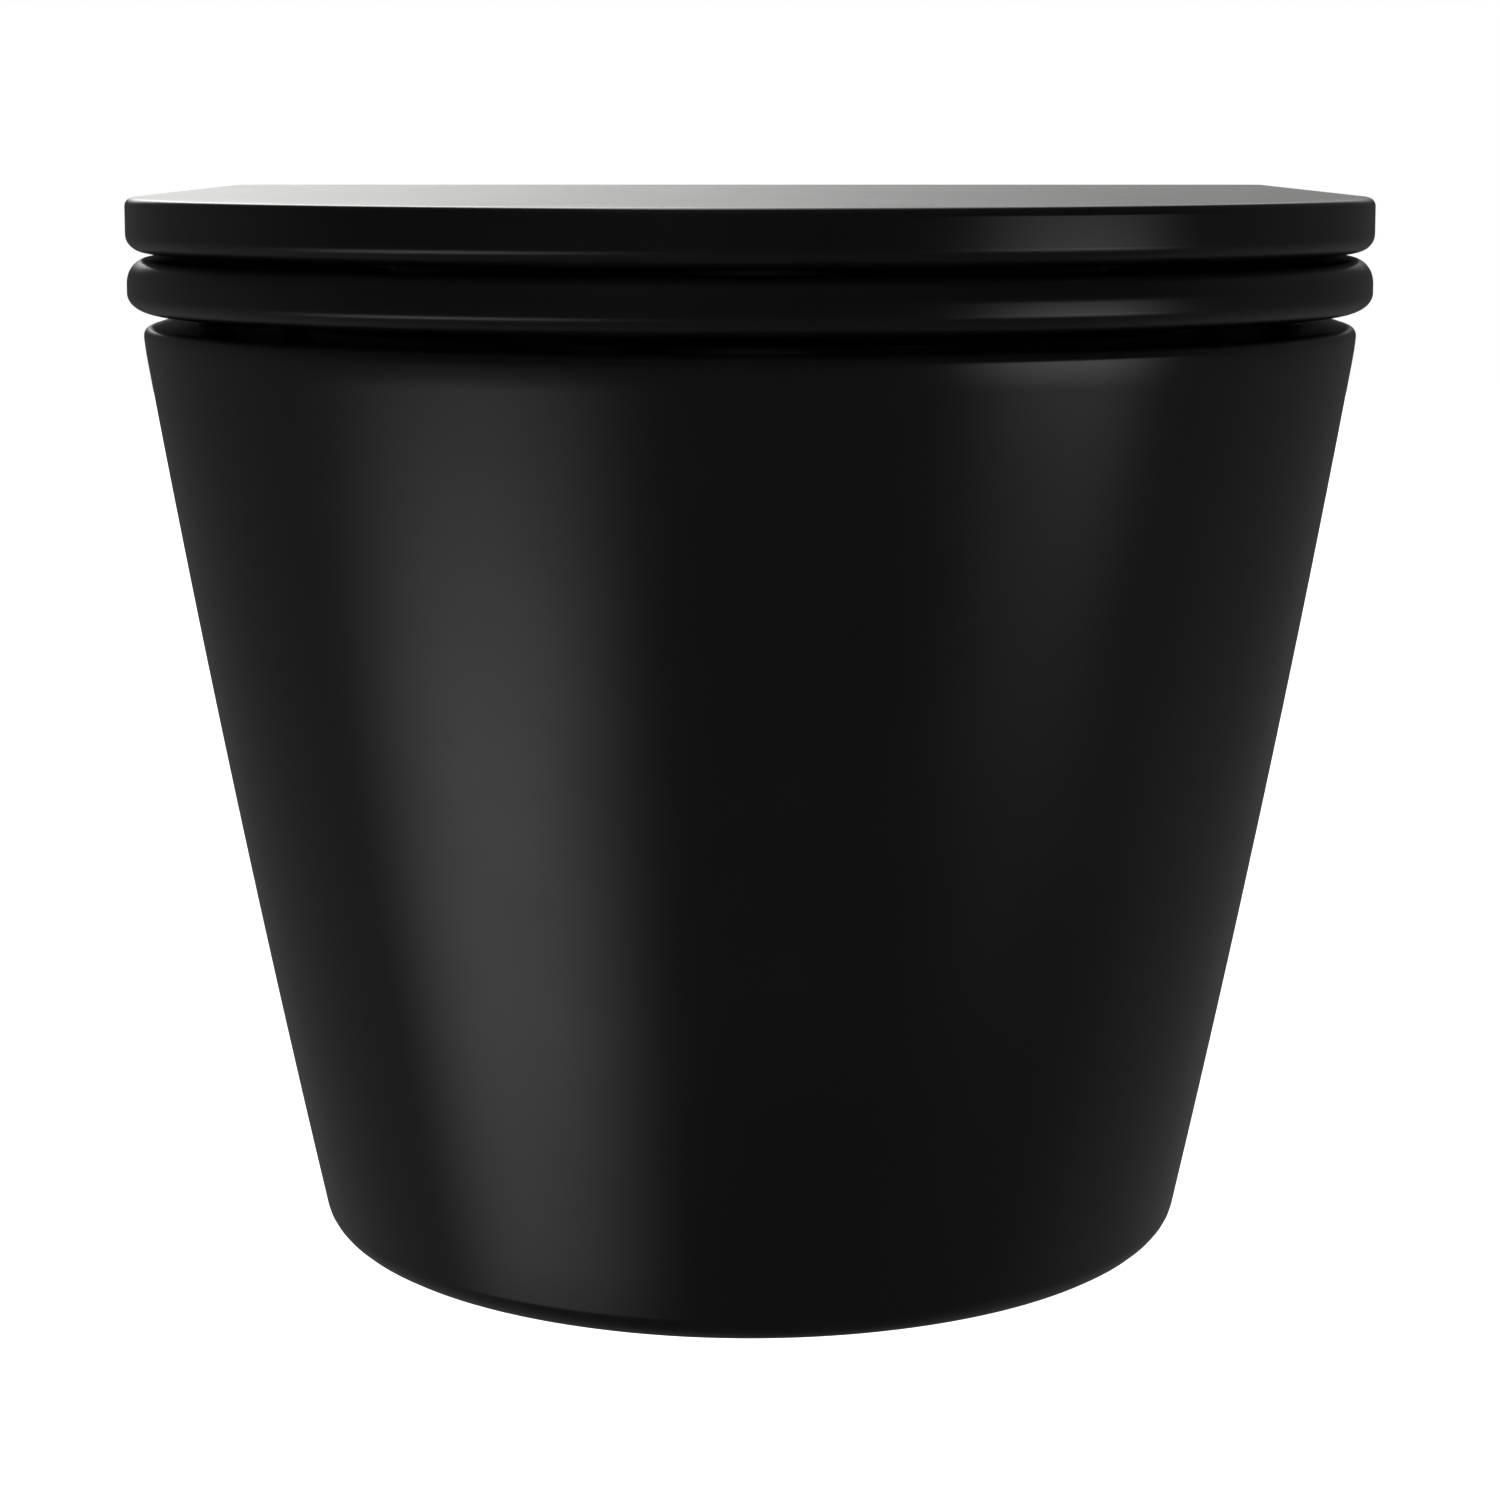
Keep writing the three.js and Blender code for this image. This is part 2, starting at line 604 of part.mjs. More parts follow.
function hinge(name, side) {
  piece("hinge_housing_" + name, hingeHousing(side), BLACK_PLASTIC);
  const seatIsDamped = side === LEFT;
  const bushRadius = 4;
  const outer = seatIsDamped ? CARTRIDGE_RADIUS : bushRadius;
  const inner = seatIsDamped ? bushRadius : CARTRIDGE_RADIUS;
  const outerName = seatIsDamped ? "seat_damper_left" : "seat_pivot_pin_right";
  const innerName = seatIsDamped ? "lid_pivot_pin_left" : "lid_damper_right";
  piece(outerName, pivot(side, 1, outer), seatIsDamped ? GREY_PLASTIC : STEEL);
  piece(innerName, pivot(side, -1, inner), seatIsDamped ? STEEL : GREY_PLASTIC);
  piece("release_button_" + name, releaseButton(side), BUTTON_GREY);
  piece("button_spring_" + name, buttonSpring(side), STEEL);
}

// Levels of a plate with an elliptical round below and another above.
function plateLevels(bottom, top, below, above) {
  const levels = [];
  for (const { inset, rise } of roundSteps(below.width, below.height, below.steps)) {
    levels.push({ z: bottom + rise, inset });
  }
  for (const { inset, rise } of roundSteps(above.width, above.height, above.steps).reverse()) {
    levels.push({ z: top - rise, inset });
  }
  return levels.filter((level, i) => i === 0 || level.z > levels[i - 1].z + 0.01);
}

function seatRing() {
  const below = { width: 11, height: 8.2, steps: 3 };
  const above = { width: 6.5, height: 7.2, steps: 3 };
  const rings = plateLevels(SEAT_BOTTOM, SEAT_TOP, below, above).map(({ z, inset }) =>
    dRing(SEAT_HALF - inset, SEAT_HALF - inset, WIDEST, SEAT_REAR - inset / 3, CORNER, z),
  );
  const { half, front, back } = SEAT_OPENING;
  const squareness = 2.1;
  const inner = [
    { z: SEAT_BOTTOM - 1, grow: 3 },
    { z: SEAT_BOTTOM + 3, grow: 0 },
    { z: SEAT_TOP - 9, grow: 0.5 },
    { z: SEAT_TOP - 4, grow: 3 },
    { z: SEAT_TOP - 1.2, grow: 7 },
    { z: SEAT_TOP + 0.2, grow: 12 },
  ];
  const opening = loft(
    inner.map(({ z, grow }) => ovalRing(half + grow, front - grow, back + grow, z, 32, squareness)),
  );
  const notch = block([-NOTCH_HALF, NOTCH_FRONT, 0], [NOTCH_HALF, 0, 200]);
  let ring = loft(rings).subtract(notch).subtract(opening);
  const knuckleIn = POST_X + HOUSING_LENGTH / 2 + KNUCKLE_GAP;
  const knuckleOut = knuckleIn + 16;
  for (const [, side] of SIDES) {
    const pinWay = [knuckleIn - OVERRUN / 2, knuckleOut - 1.5];
    ring = ring
      .add(sideBar(side, knuckleIn, knuckleOut, HINGE_Y, HINGE_Z, KNUCKLE_RADIUS))
      .subtract(sideBar(side, pinWay[0], pinWay[1], HINGE_Y, HINGE_Z, PIN_RADIUS + GAP, 20));
  }
  return ring;
}

function lid() {
  const below = { width: 8, height: 8, steps: 3 };
  const above = { width: 2.5, height: 2.5, steps: 2 };
  const rings = plateLevels(LID_BOTTOM, LID_TOP, below, above).map(({ z, inset }) =>
    dRing(LID_HALF - inset, LID_HALF - inset, WIDEST, LID_REAR - Math.min(inset, 2.5), CORNER, z),
  );
  const ceiling = LID_TOP - LID_PANEL;
  const edge = 24;
  const recess = loft(
    [LID_BOTTOM - 2, ceiling].map((z) =>
      dRing(LID_HALF - edge, LID_HALF - edge, WIDEST, NOTCH_FRONT, CORNER, z),
    ),
  );
  const bayHalf = 128;
  const hingeBay = block([-bayHalf, NOTCH_FRONT - 1, 0], [bayHalf, 0, ceiling]);
  let plate = loft(rings).subtract(recess).subtract(hingeBay);
  // One long knuckle between the two housings, joined to the underside of the lid.
  const barrelHalf = POST_X - HOUSING_LENGTH / 2 - KNUCKLE_GAP;
  const pinWay = [barrelHalf - 13.5, barrelHalf + OVERRUN / 2];
  const neckLow = [-barrelHalf, HINGE_Y - KNUCKLE_RADIUS, HINGE_Z];
  const neckHigh = [barrelHalf, HINGE_Y + KNUCKLE_RADIUS, ceiling + 1];
  plate = plate
    .add(bar("x", -barrelHalf, barrelHalf, [0, HINGE_Y, HINGE_Z], KNUCKLE_RADIUS))
    .add(block(neckLow, neckHigh));
  for (const [, side] of SIDES) {
    plate = plate.subtract(
      sideBar(side, pinWay[0], pinWay[1], HINGE_Y, HINGE_Z, PIN_RADIUS + GAP, 20),
    );
  }
  return plate;
}

// Rounded rubber pad with straight long sides, lying along Y.
function pad(x, y, low, high, half, straight) {
  const outline = new THREE.Shape();
  outline.moveTo(half, -straight);
  outline.lineTo(half, straight);
  outline.absarc(0, straight, half, 0, Math.PI);
  outline.lineTo(-half, -straight);
  outline.absarc(0, -straight, half, Math.PI, 2 * Math.PI);
  const shape = new THREE.ExtrudeGeometry(outline, {
    depth: high - low,
    bevelEnabled: false,
    curveSegments: 5,
  });
  shape.translate(x, y, low);
  return solidOf(shape);
}

function buffers(name, side) {
  const seatLow = RIM_TOP + GAP;
  const seatHigh = SEAT_BOTTOM - GAP;
  const lidLow = SEAT_TOP + GAP;
  const lidHigh = LID_TOP - LID_PANEL - GAP;
  const seatPad = (y) => pad(side * 151, y, seatLow, seatHigh, 4.8, 8);
  const lidPad = (x, y) => pad(side * x, y, lidLow, lidHigh, 5, 2);
  piece("seat_buffer_front_" + name, seatPad(-373), RUBBER);
  piece("seat_buffer_rear_" + name, seatPad(-170), RUBBER);
  piece("lid_buffer_front_" + name, lidPad(100, -444), RUBBER);
  piece("lid_buffer_rear_" + name, lidPad(143, -190), RUBBER);
}

piece("pan", pan(), GLAZE);
piece("flush_distributor", flushDistributor(), GREY_PLASTIC);
piece("seat_ring", seatRing(), DUROPLAST);
piece("lid", lid(), DUROPLAST);
for (const [name, side] of SIDES) {
  wallFixing(name, side);
  seatPost(name, side);
  hinge(name, side);
  buffers(name, side);
}

export default root;
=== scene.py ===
"""Studio picture of a black wall-hung toilet pan with its soft-close seat and lid, round the CAD frame."""
import json
import math

import bmesh
import bpy
import numpy as np
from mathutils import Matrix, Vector


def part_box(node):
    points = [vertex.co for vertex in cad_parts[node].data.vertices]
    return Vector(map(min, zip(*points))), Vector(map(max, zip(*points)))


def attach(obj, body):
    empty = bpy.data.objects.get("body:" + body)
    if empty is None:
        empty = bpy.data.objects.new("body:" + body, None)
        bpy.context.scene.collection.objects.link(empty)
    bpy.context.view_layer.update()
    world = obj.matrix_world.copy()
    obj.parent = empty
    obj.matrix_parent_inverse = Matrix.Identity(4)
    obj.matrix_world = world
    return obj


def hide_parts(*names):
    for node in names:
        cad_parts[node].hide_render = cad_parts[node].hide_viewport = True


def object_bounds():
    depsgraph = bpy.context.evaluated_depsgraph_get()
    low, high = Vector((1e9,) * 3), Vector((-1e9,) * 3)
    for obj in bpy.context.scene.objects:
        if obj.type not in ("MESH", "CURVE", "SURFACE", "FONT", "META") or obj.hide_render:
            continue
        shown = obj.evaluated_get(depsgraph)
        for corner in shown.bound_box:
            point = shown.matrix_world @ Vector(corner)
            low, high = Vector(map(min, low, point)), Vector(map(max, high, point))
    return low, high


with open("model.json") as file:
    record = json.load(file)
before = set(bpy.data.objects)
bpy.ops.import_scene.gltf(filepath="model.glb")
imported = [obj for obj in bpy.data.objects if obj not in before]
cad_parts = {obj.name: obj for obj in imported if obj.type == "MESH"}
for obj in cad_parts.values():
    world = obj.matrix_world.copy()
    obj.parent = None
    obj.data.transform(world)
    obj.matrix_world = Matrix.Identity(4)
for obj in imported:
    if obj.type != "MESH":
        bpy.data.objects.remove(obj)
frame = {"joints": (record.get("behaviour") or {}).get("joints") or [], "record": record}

CAD_LOW, CAD_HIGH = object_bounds()
MM = 0.001
RECORD = frame["record"]
SLOT_OF = {entry["node"]: entry["material_slot"] for entry in RECORD["subparts"]}
BODY_OF = {node: body for body, nodes in RECORD["behaviour"]["bodies"].items() for node in nodes}
JOINTS = {joint["name"]: joint for joint in frame["joints"]}
SIDES = (("left", -1), ("right", 1))


# ---------------------------------------------------------------- camera, floor and light

CAMERA_FROM_WALL = 1.55
CAMERA_OVER_LID = 19.4 * MM
CAMERA_PITCH = math.radians(8.57)
CAMERA_LENS = 99.0
CAMERA_SENSOR = 36
FLOOR_DROP = 0.28  # the pan hangs this far over the floor
FLOOR_SIZE = 16.0
FLOOR_STEPS = 24
LAMP_STRENGTH = 6.0
LAMP_SPREAD = math.radians(80)
LAMP_LEAN = (math.radians(12), math.radians(-8), 0)

# What the satin surfaces mirror. Angles are in degrees; a span is its middle, half-width and soft margin.
AMBIENT = 0.02
BACKDROP_TURN = (-12, 7)
BACKDROP_STRENGTH = (4.2, 1.0)
BACKDROP_WIDTH = (0, 13, 12)
BACKDROP_RISE = (40, 26, 10)
# Strength, then the span of the azimuth and that of the elevation.
SOFT_BOXES = (
    (1.50, (-59, 5, 38), (-26, 1, 8.5)),
    (1.60, (60, 5, 20), (-9, 2, 11)),
    (0.05, (0, 180, 1), (-60, 35, 30)),
    (0.05, (-135, 25, 40), (-25, 30, 40)),
    (0.05, (135, 25, 40), (-10, 30, 40)),
)


def make_camera():
    """The camera stands before the middle of the pan, a little over the lid, and looks slightly down."""
    data = bpy.data.cameras.new("camera")
    data.lens = CAMERA_LENS
    data.sensor_width = CAMERA_SENSOR
    data.clip_end = 50
    camera = bpy.data.objects.new("camera", data)
    camera.location = (0, -CAMERA_FROM_WALL, CAD_HIGH.z + CAMERA_OVER_LID)
    camera.rotation_euler = (math.pi / 2 - CAMERA_PITCH, 0, 0)
    bpy.context.scene.collection.objects.link(camera)
    bpy.context.scene.camera = camera


def node_tools(tree):
    """Short ways to add a node and to wire sockets in one node tree."""

    def add(kind, **settings):
        node = tree.nodes.new(kind)
        for key, value in settings.items():
            if key in node.inputs:
                node.inputs[key].default_value = value
            else:
                setattr(node, key, value)
        return node

    def wire(source, target):
        tree.links.new(source, target)

    return add, wire


def set_range(node, low, high, at_low, at_high):
    """Sets a Map Range node to go from at_low to at_high between low and high."""
    ends = {"From Min": low, "From Max": high, "To Min": at_low, "To Max": at_high}
    for socket, value in ends.items():
        node.inputs[socket].default_value = value


def make_world():
    """A white studio for the eye, and a dark one with soft boxes for what the satin surfaces mirror."""
    world = bpy.data.worlds.new("studio")
    bpy.context.scene.world = world
    world.use_nodes = True
    tree = world.node_tree
    tree.nodes.clear()
    add, wire = node_tools(tree)

    def maths(operation, *values):
        node = add("ShaderNodeMath", operation=operation)
        for socket, value in zip(node.inputs, values):
            if isinstance(value, (int, float)):
                socket.default_value = value
            else:
                wire(value, socket)
        return node.outputs[0]

    def ramp(value, low, high, at_low, at_high):
        """Goes smoothly from at_low to at_high as the value goes from low to high."""
        node = add("ShaderNodeMapRange", interpolation_type="SMOOTHSTEP")
        wire(value, node.inputs["Value"])
        set_range(node, low, high, at_low, at_high)
        return node.outputs[0]

    def band(value, middle, half, soft):
        """1 within half of the middle, falling smoothly to 0 over the soft margin."""
        off = maths("ABSOLUTE", maths("SUBTRACT", value, middle))
        return ramp(off, half, half + soft, 1, 0)

    split = add("ShaderNodeSeparateXYZ")
    wire(add("ShaderNodeTexCoord").outputs["Generated"], split.inputs[0])
    x, y, z = split.outputs
    # Degrees from straight ahead of the object (-Y) and from straight behind it, both positive to the
    # right, and degrees over the horizon.
    azimuth = maths("MULTIPLY", maths("ARCTAN2", x, maths("MULTIPLY", y, -1)), 180 / math.pi)
    behind = maths("MULTIPLY", maths("ARCTAN2", x, y), 180 / math.pi)
    elevation = maths("MULTIPLY", maths("ARCSINE", z), 180 / math.pi)

    # Behind and above the object: bright on the left, falling to the right.
    window = maths("MULTIPLY", band(behind, *BACKDROP_WIDTH), band(elevation, *BACKDROP_RISE))
    light = maths("MULTIPLY", ramp(behind, *BACKDROP_TURN, *BACKDROP_STRENGTH), window)
    for strength, azimuth_span, elevation_span in SOFT_BOXES:
        lobe = maths("MULTIPLY", band(azimuth, *azimuth_span), band(elevation, *elevation_span))
        light = maths("ADD", light, maths("MULTIPLY", lobe, strength))
    light = maths("ADD", light, AMBIENT)

    mirrored = add("ShaderNodeBackground", Color=(1, 0.995, 0.985, 1))
    wire(light, mirrored.inputs["Strength"])
    seen = add("ShaderNodeBackground", Color=(1, 1, 1, 1), Strength=1.0)
    choose = add("ShaderNodeMixShader")
    wire(add("ShaderNodeLightPath").outputs["Is Camera Ray"], choose.inputs[0])
    wire(mirrored.outputs[0], choose.inputs[1])
    wire(seen.outputs[0], choose.inputs[2])
    wire(choose.outputs[0], add("ShaderNodeOutputWorld").inputs["Surface"])


def make_floor(materials):
    """A wide pale floor under the hanging pan."""
    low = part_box("pan")[0].z - FLOOR_DROP
    grid = np.linspace(-FLOOR_SIZE / 2, FLOOR_SIZE / 2, FLOOR_STEPS + 1)
    points = [(x, y, low) for y in grid for x in grid]
    row = FLOOR_STEPS + 1
    faces = [
        (j * row + i, j * row + i + 1, (j + 1) * row + i + 1, (j + 1) * row + i)
        for j in range(FLOOR_STEPS)
        for i in range(FLOOR_STEPS)
    ]
    mesh = bpy.data.meshes.new("floor")
    mesh.from_pydata(points, [], faces)
    floor = bpy.data.objects.new("floor", mesh)
    bpy.context.scene.collection.objects.link(floor)
    floor.data.materials.append(materials["floor"])
    floor.visible_glossy = False


def make_lights():
    """A wide soft lamp from above for the floor and the matt parts, kept out of the reflections."""
    data = bpy.data.lights.new("sky_lamp", "SUN")
    data.energy = LAMP_STRENGTH
    data.angle = LAMP_SPREAD
    lamp = bpy.data.objects.new("sky_lamp", data)
    lamp.rotation_euler = LAMP_LEAN
    lamp.visible_glossy = False
    bpy.context.scene.collection.objects.link(lamp)


# ---------------------------------------------------------------- materials


def principled(name, color, roughness, metallic=0.0, **sockets):
    """A material whose constants sit on the shader's own sockets."""
    material = bpy.data.materials.new(name)
    material.use_nodes = True
    tree = material.node_tree
    shader = tree.nodes["Principled BSDF"]
    shader.inputs["Base Color"].default_value = (*color, 1)
    shader.inputs["Roughness"].default_value = roughness
    shader.inputs["Metallic"].default_value = metallic
    for key, value in sockets.items():
        shader.inputs[key.replace("_", " ")].default_value = value
    return material, tree, shader


def noise(tree, scale, detail=3.0):
    """Noise in the piece's own space, in metres."""
    add, wire = node_tools(tree)
    node = add("ShaderNodeTexNoise", Scale=scale, Detail=detail)
    wire(add("ShaderNodeTexCoord").outputs["Object"], node.inputs["Vector"])
    return node.outputs["Fac"]


def vary(tree, source, low, high, target):
    """Drives a socket between two values by a pattern."""
    add, wire = node_tools(tree)
    ramp = add("ShaderNodeMapRange")
    wire(source, ramp.inputs["Value"])
    set_range(ramp, 0.3, 0.7, low, high)
    wire(ramp.outputs[0], target)


def tint(tree, source, dark, light, target):
    """Colours a socket between two colours by a pattern."""
    add, wire = node_tools(tree)
    ramp = add("ShaderNodeValToRGB")
    ramp.color_ramp.elements[0].position = 0.35
    ramp.color_ramp.elements[1].position = 0.65
    ramp.color_ramp.elements[0].color = (*dark, 1)
    ramp.color_ramp.elements[1].color = (*light, 1)
    wire(source, ramp.inputs["Fac"])
    wire(ramp.outputs["Color"], target)


def bump(tree, source, shader, strength, distance):
    """Raises a pattern on the shader's surface; the distance is in metres."""
    add, wire = node_tools(tree)
    node = add("ShaderNodeBump")
    node.inputs["Strength"].default_value = strength
    node.inputs["Distance"].default_value = distance
    wire(source, node.inputs["Height"])
    wire(node.outputs["Normal"], shader.inputs["Normal"])


def glaze():
    """Satin black glaze: deep black, silky, with the very fine grain of a fired matt surface."""
    material, tree, shader = principled("black_glaze", (0.002, 0.002, 0.0021), 0.23, IOR=1.52)
    dark, light = (0.0016, 0.0016, 0.0017), (0.0024, 0.0024, 0.0025)
    tint(tree, noise(tree, 9), dark, light, shader.inputs["Base Color"])
    vary(tree, noise(tree, 25), 0.22, 0.25, shader.inputs["Roughness"])
    bump(tree, noise(tree, 900), shader, 0.04, 0.0001)
    return material


def duroplast(name):
    """Satin black thermoset with the fine grain of its mould."""
    material, tree, shader = principled(name, (0.002, 0.002, 0.0021), 0.24, IOR=1.5)
    dark, light = (0.0018, 0.0018, 0.0019), (0.0026, 0.0026, 0.0027)
    tint(tree, noise(tree, 14), dark, light, shader.inputs["Base Color"])
    vary(tree, noise(tree, 40), 0.23, 0.26, shader.inputs["Roughness"])
    bump(tree, noise(tree, 1400), shader, 0.05, 0.0001)
    return material


def moulded(name, dark, light, roughness):
    """Moulded plastic with a fine spark-eroded grain."""
    material, tree, shader = principled(name, light, roughness, IOR=1.5)
    tint(tree, noise(tree, 60), dark, light, shader.inputs["Base Color"])
    vary(tree, noise(tree, 120), roughness * 0.85, min(1, roughness * 1.15), shader.inputs["Roughness"])
    bump(tree, noise(tree, 900, 4.0), shader, 0.12, 0.0002)
    return material


def rubber():
    """Dull grey rubber with a fine, uneven skin."""
    material, tree, shader = principled("buffer_rubber", (0.055, 0.056, 0.06), 0.7, IOR=1.5)
    tint(tree, noise(tree, 90), (0.045, 0.046, 0.049), (0.07, 0.071, 0.075), shader.inputs["Base Color"])
    vary(tree, noise(tree, 200), 0.45, 0.62, shader.inputs["Roughness"])
    bump(tree, noise(tree, 1600, 4.0), shader, 0.2, 0.0002)
    return material


def metal(name, color, low, high, scale=300, strength=0.03):
    """Plated or drawn metal: fine marks change its roughness between low and high."""
    material, tree, shader = principled(name, color, (low + high) / 2, 1.0)
    marks = noise(tree, scale, 4.0)
    darker = tuple(value * 0.88 for value in color)
    tint(tree, noise(tree, 70), darker, color, shader.inputs["Base Color"])
    vary(tree, marks, low, high, shader.inputs["Roughness"])
    bump(tree, marks, shader, strength, 0.0001)
    return material


def pale_floor():
    """Matt pale floor with faint clouds and a fine grain."""
    material, tree, shader = principled("pale_floor", (0.9, 0.9, 0.9), 0.8)
    tint(tree, noise(tree, 1.4), (0.9, 0.9, 0.9), (0.93, 0.93, 0.925), shader.inputs["Base Color"])
    bump(tree, noise(tree, 220, 4.0), shader, 0.05, 0.001)
    return material


def make_materials():
    """One material for each slot of the record, and the floor's."""
    return {
        "glazed_ceramic_black": glaze(),
        "duroplast_black": duroplast("black_duroplast"),
        "cap_black": duroplast("cap_duroplast"),
        "chrome": metal("chrome", (0.78, 0.79, 0.8), 0.05, 0.11),
        "zinc_steel": metal("zinc_plated_steel", (0.6, 0.61, 0.63), 0.24, 0.4, scale=500, strength=0.08),
        "spring_steel": metal("spring_wire", (0.5, 0.5, 0.51), 0.2, 0.32),
        "housing_black": moulded("housing_plastic", (0.012, 0.012, 0.013), (0.018, 0.018, 0.019), 0.34),
        "damper_grey": moulded("damper_plastic", (0.13, 0.135, 0.14), (0.17, 0.175, 0.18), 0.4),
        "grey_plastic": moulded("grey_plastic", (0.18, 0.185, 0.19), (0.22, 0.225, 0.23), 0.45),
        "white_plastic": moulded("white_plastic", (0.6, 0.6, 0.58), (0.68, 0.68, 0.66), 0.42),
        "rubber_grey": rubber(),
        "button_grey": moulded("button_plastic", (0.26, 0.265, 0.27), (0.31, 0.315, 0.32), 0.3),
        "floor": pale_floor(),
    }


# ---------------------------------------------------------------- mesh tools


def new_object(name, points, faces):
    """A new piece of the scene from its points and faces."""
    mesh = bpy.data.meshes.new(name)
    mesh.from_pydata([tuple(p) for p in points], [], faces)
    mesh.validate()
    mesh.update()
    piece = bpy.data.objects.new(name, mesh)
    bpy.context.scene.collection.objects.link(piece)
    return piece


def fix_normals(piece):
    """Turns every face of a closed solid outward."""
    mesh = bmesh.new()
    mesh.from_mesh(piece.data)
    bmesh.ops.recalc_face_normals(mesh, faces=mesh.faces)
    mesh.to_mesh(piece.data)
    mesh.free()
    return piece


def loft(name, rings, closed=False):
    """A solid through rings of equal point count, each anticlockwise seen from above, lowest first.

    A closed loft joins its last ring to its first, as a tyre does; an open one has flat ends.
    """
    count = len(rings[0])
    points = [point for ring in rings for point in ring]
    faces = []
    levels = len(rings) if closed else len(rings) - 1
    for level in range(levels):
        low = level * count
        high = ((level + 1) % len(rings)) * count
        for i in range(count):
            nxt = (i + 1) % count
            faces.append((low + i, low + nxt, high + nxt, high + i))
    if not closed:
        faces.append(tuple(reversed(range(count))))
        top = (len(rings) - 1) * count
        faces.append(tuple(range(top, top + count)))
    return fix_normals(new_object(name, points, faces))


def apply_modifiers(piece):
    """Makes the modifiers of a piece part of its mesh."""
    graph = bpy.context.evaluated_depsgraph_get()
    mesh = bpy.data.meshes.new_from_object(piece.evaluated_get(graph))
    piece.modifiers.clear()
    old = piece.data
    piece.data = mesh
    bpy.data.meshes.remove(old)
    return piece


def apply_boolean(piece, tools, operation="DIFFERENCE"):
    """Cuts or joins the tools into the piece and deletes them."""
    for tool in tools if isinstance(tools, (list, tuple)) else [tools]:
        modifier = piece.modifiers.new("cut", "BOOLEAN")
        modifier.operation = operation
        modifier.solver = "EXACT"
        modifier.object = tool
        apply_modifiers(piece)
        bpy.data.objects.remove(tool)
    return piece


def smooth(piece, angle=40):
    """Smooth shading with crisp edges, and normals weighted so that flat faces stay flat."""
    mesh = piece.data
    mesh.polygons.foreach_set("use_smooth", [True] * len(mesh.polygons))
    mesh.set_sharp_from_angle(angle=math.radians(angle))
    weight = piece.modifiers.new("weighted_normals", "WEIGHTED_NORMAL")
    weight.keep_sharp = True
    weight.weight = 100
    return piece


def bevel(piece, width, segments=3, angle=35):
    """Rounds the edges whose faces meet at more than the angle."""
    edge = piece.modifiers.new("bevel", "BEVEL")
    edge.width = width
    edge.segments = segments
    edge.limit_method = "ANGLE"
    edge.angle_limit = math.radians(angle)
    edge.harden_normals = False
    return apply_modifiers(piece)


def stand_for(piece, node, materials, angle=40):
    """The piece takes over a CAD node: its body, its slot and that slot's material."""
    smooth(piece, angle)
    piece.data.materials.clear()
    piece.data.materials.append(materials[SLOT_OF[node]])
    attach(piece, BODY_OF[node])
    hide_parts(node)
    return piece


def centre_of(node):
    """The middle of a CAD node's box."""
    low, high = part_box(node)
    return (low + high) / 2


def box_solid(name, low, high):
    """A plain block between two opposite corners, for cutting and joining."""
    x0, y0, z0 = low
    x1, y1, z1 = high
    points = [(x, y, z) for z in (z0, z1) for y in (y0, y1) for x in (x0, x1)]
    faces = [(0, 2, 3, 1), (4, 5, 7, 6), (0, 1, 5, 4), (1, 3, 7, 5), (3, 2, 6, 7), (2, 0, 4, 6)]
    return new_object(name, points, faces)


def side_span(side, inner, outer):
    """X from inner to outer, measured outward from the middle, on the left or the right."""
    return (inner, outer) if side > 0 else (-outer, -inner)


AXES = {"x": Vector((1, 0, 0)), "y": Vector((0, 1, 0)), "z": Vector((0, 0, 1))}


def turned(name, profile, axis, centre, segments=64):
    """A turned solid: (radius, place along the axis) points from one end to the other, closed on the axis
    where the profile starts and ends at radius 0, or a ring where it returns to its first point."""
    along = AXES[axis] if isinstance(axis, str) else Vector(axis).normalized()
    frame_x = along.orthogonal().normalized()
    frame_y = along.cross(frame_x)
    centre = Vector(centre)
    points, rows = [], []
    for radius, place in profile:
        middle = centre + along * place
        if radius < 1e-9:
            rows.append([len(points)] * segments)
            points.append(middle)
            continue
        rows.append(list(range(len(points), len(points) + segments)))
        for i in range(segments):
            angle = 2 * math.pi * i / segments
            points.append(middle + (frame_x * math.cos(angle) + frame_y * math.sin(angle)) * radius)
    faces = []
    ring = profile[0][0] > 1e-9
    pairs = list(zip(rows, rows[1:])) + ([(rows[-1], rows[0])] if ring else [])
    for low, high in pairs:
        for i in range(segments):
            nxt = (i + 1) % segments
            corners = []
            for index in (low[i], low[nxt], high[nxt], high[i]):
                if index not in corners:
                    corners.append(index)
            if len(corners) > 2:
                faces.append(tuple(corners))
    return fix_normals(new_object(name, points, faces))


def soften(profile, radius, steps=4, closed=False):
    """Rounds each corner of a (radius, place) profile whose two sides are long enough."""
    points = [Vector(p) for p in profile]
    out = []
    last = len(points) - 1
    for i, here in enumerate(points):
        if not closed and i in (0, last):
            out.append(here)
            continue
        before, after = points[i - 1], points[(i + 1) % len(points)]
        a, b = before - here, after - here
        reach = min(radius, a.length * 0.45, b.length * 0.45)
        straight = a.length < 1e-9 or b.length < 1e-9 or abs(a.normalized().dot(b.normalized())) > 0.995
        if straight or reach < 1e-5:
            out.append(here)
            continue
        start, end = here + a.normalized() * reach, here + b.normalized() * reach
        for k in range(steps + 1):
            t = k / steps
            out.append(start * (1 - t) ** 2 + here * 2 * t * (1 - t) + end * t**2)
    return [(p.x, p.y) for p in out]


def tube_ring(inner, outer, low, high, radius):
    """Profile of a ring with rounded edges."""
    return soften([(inner, low), (outer, low), (outer, high), (inner, high)], radius, closed=True)


# ---------------------------------------------------------------- pan

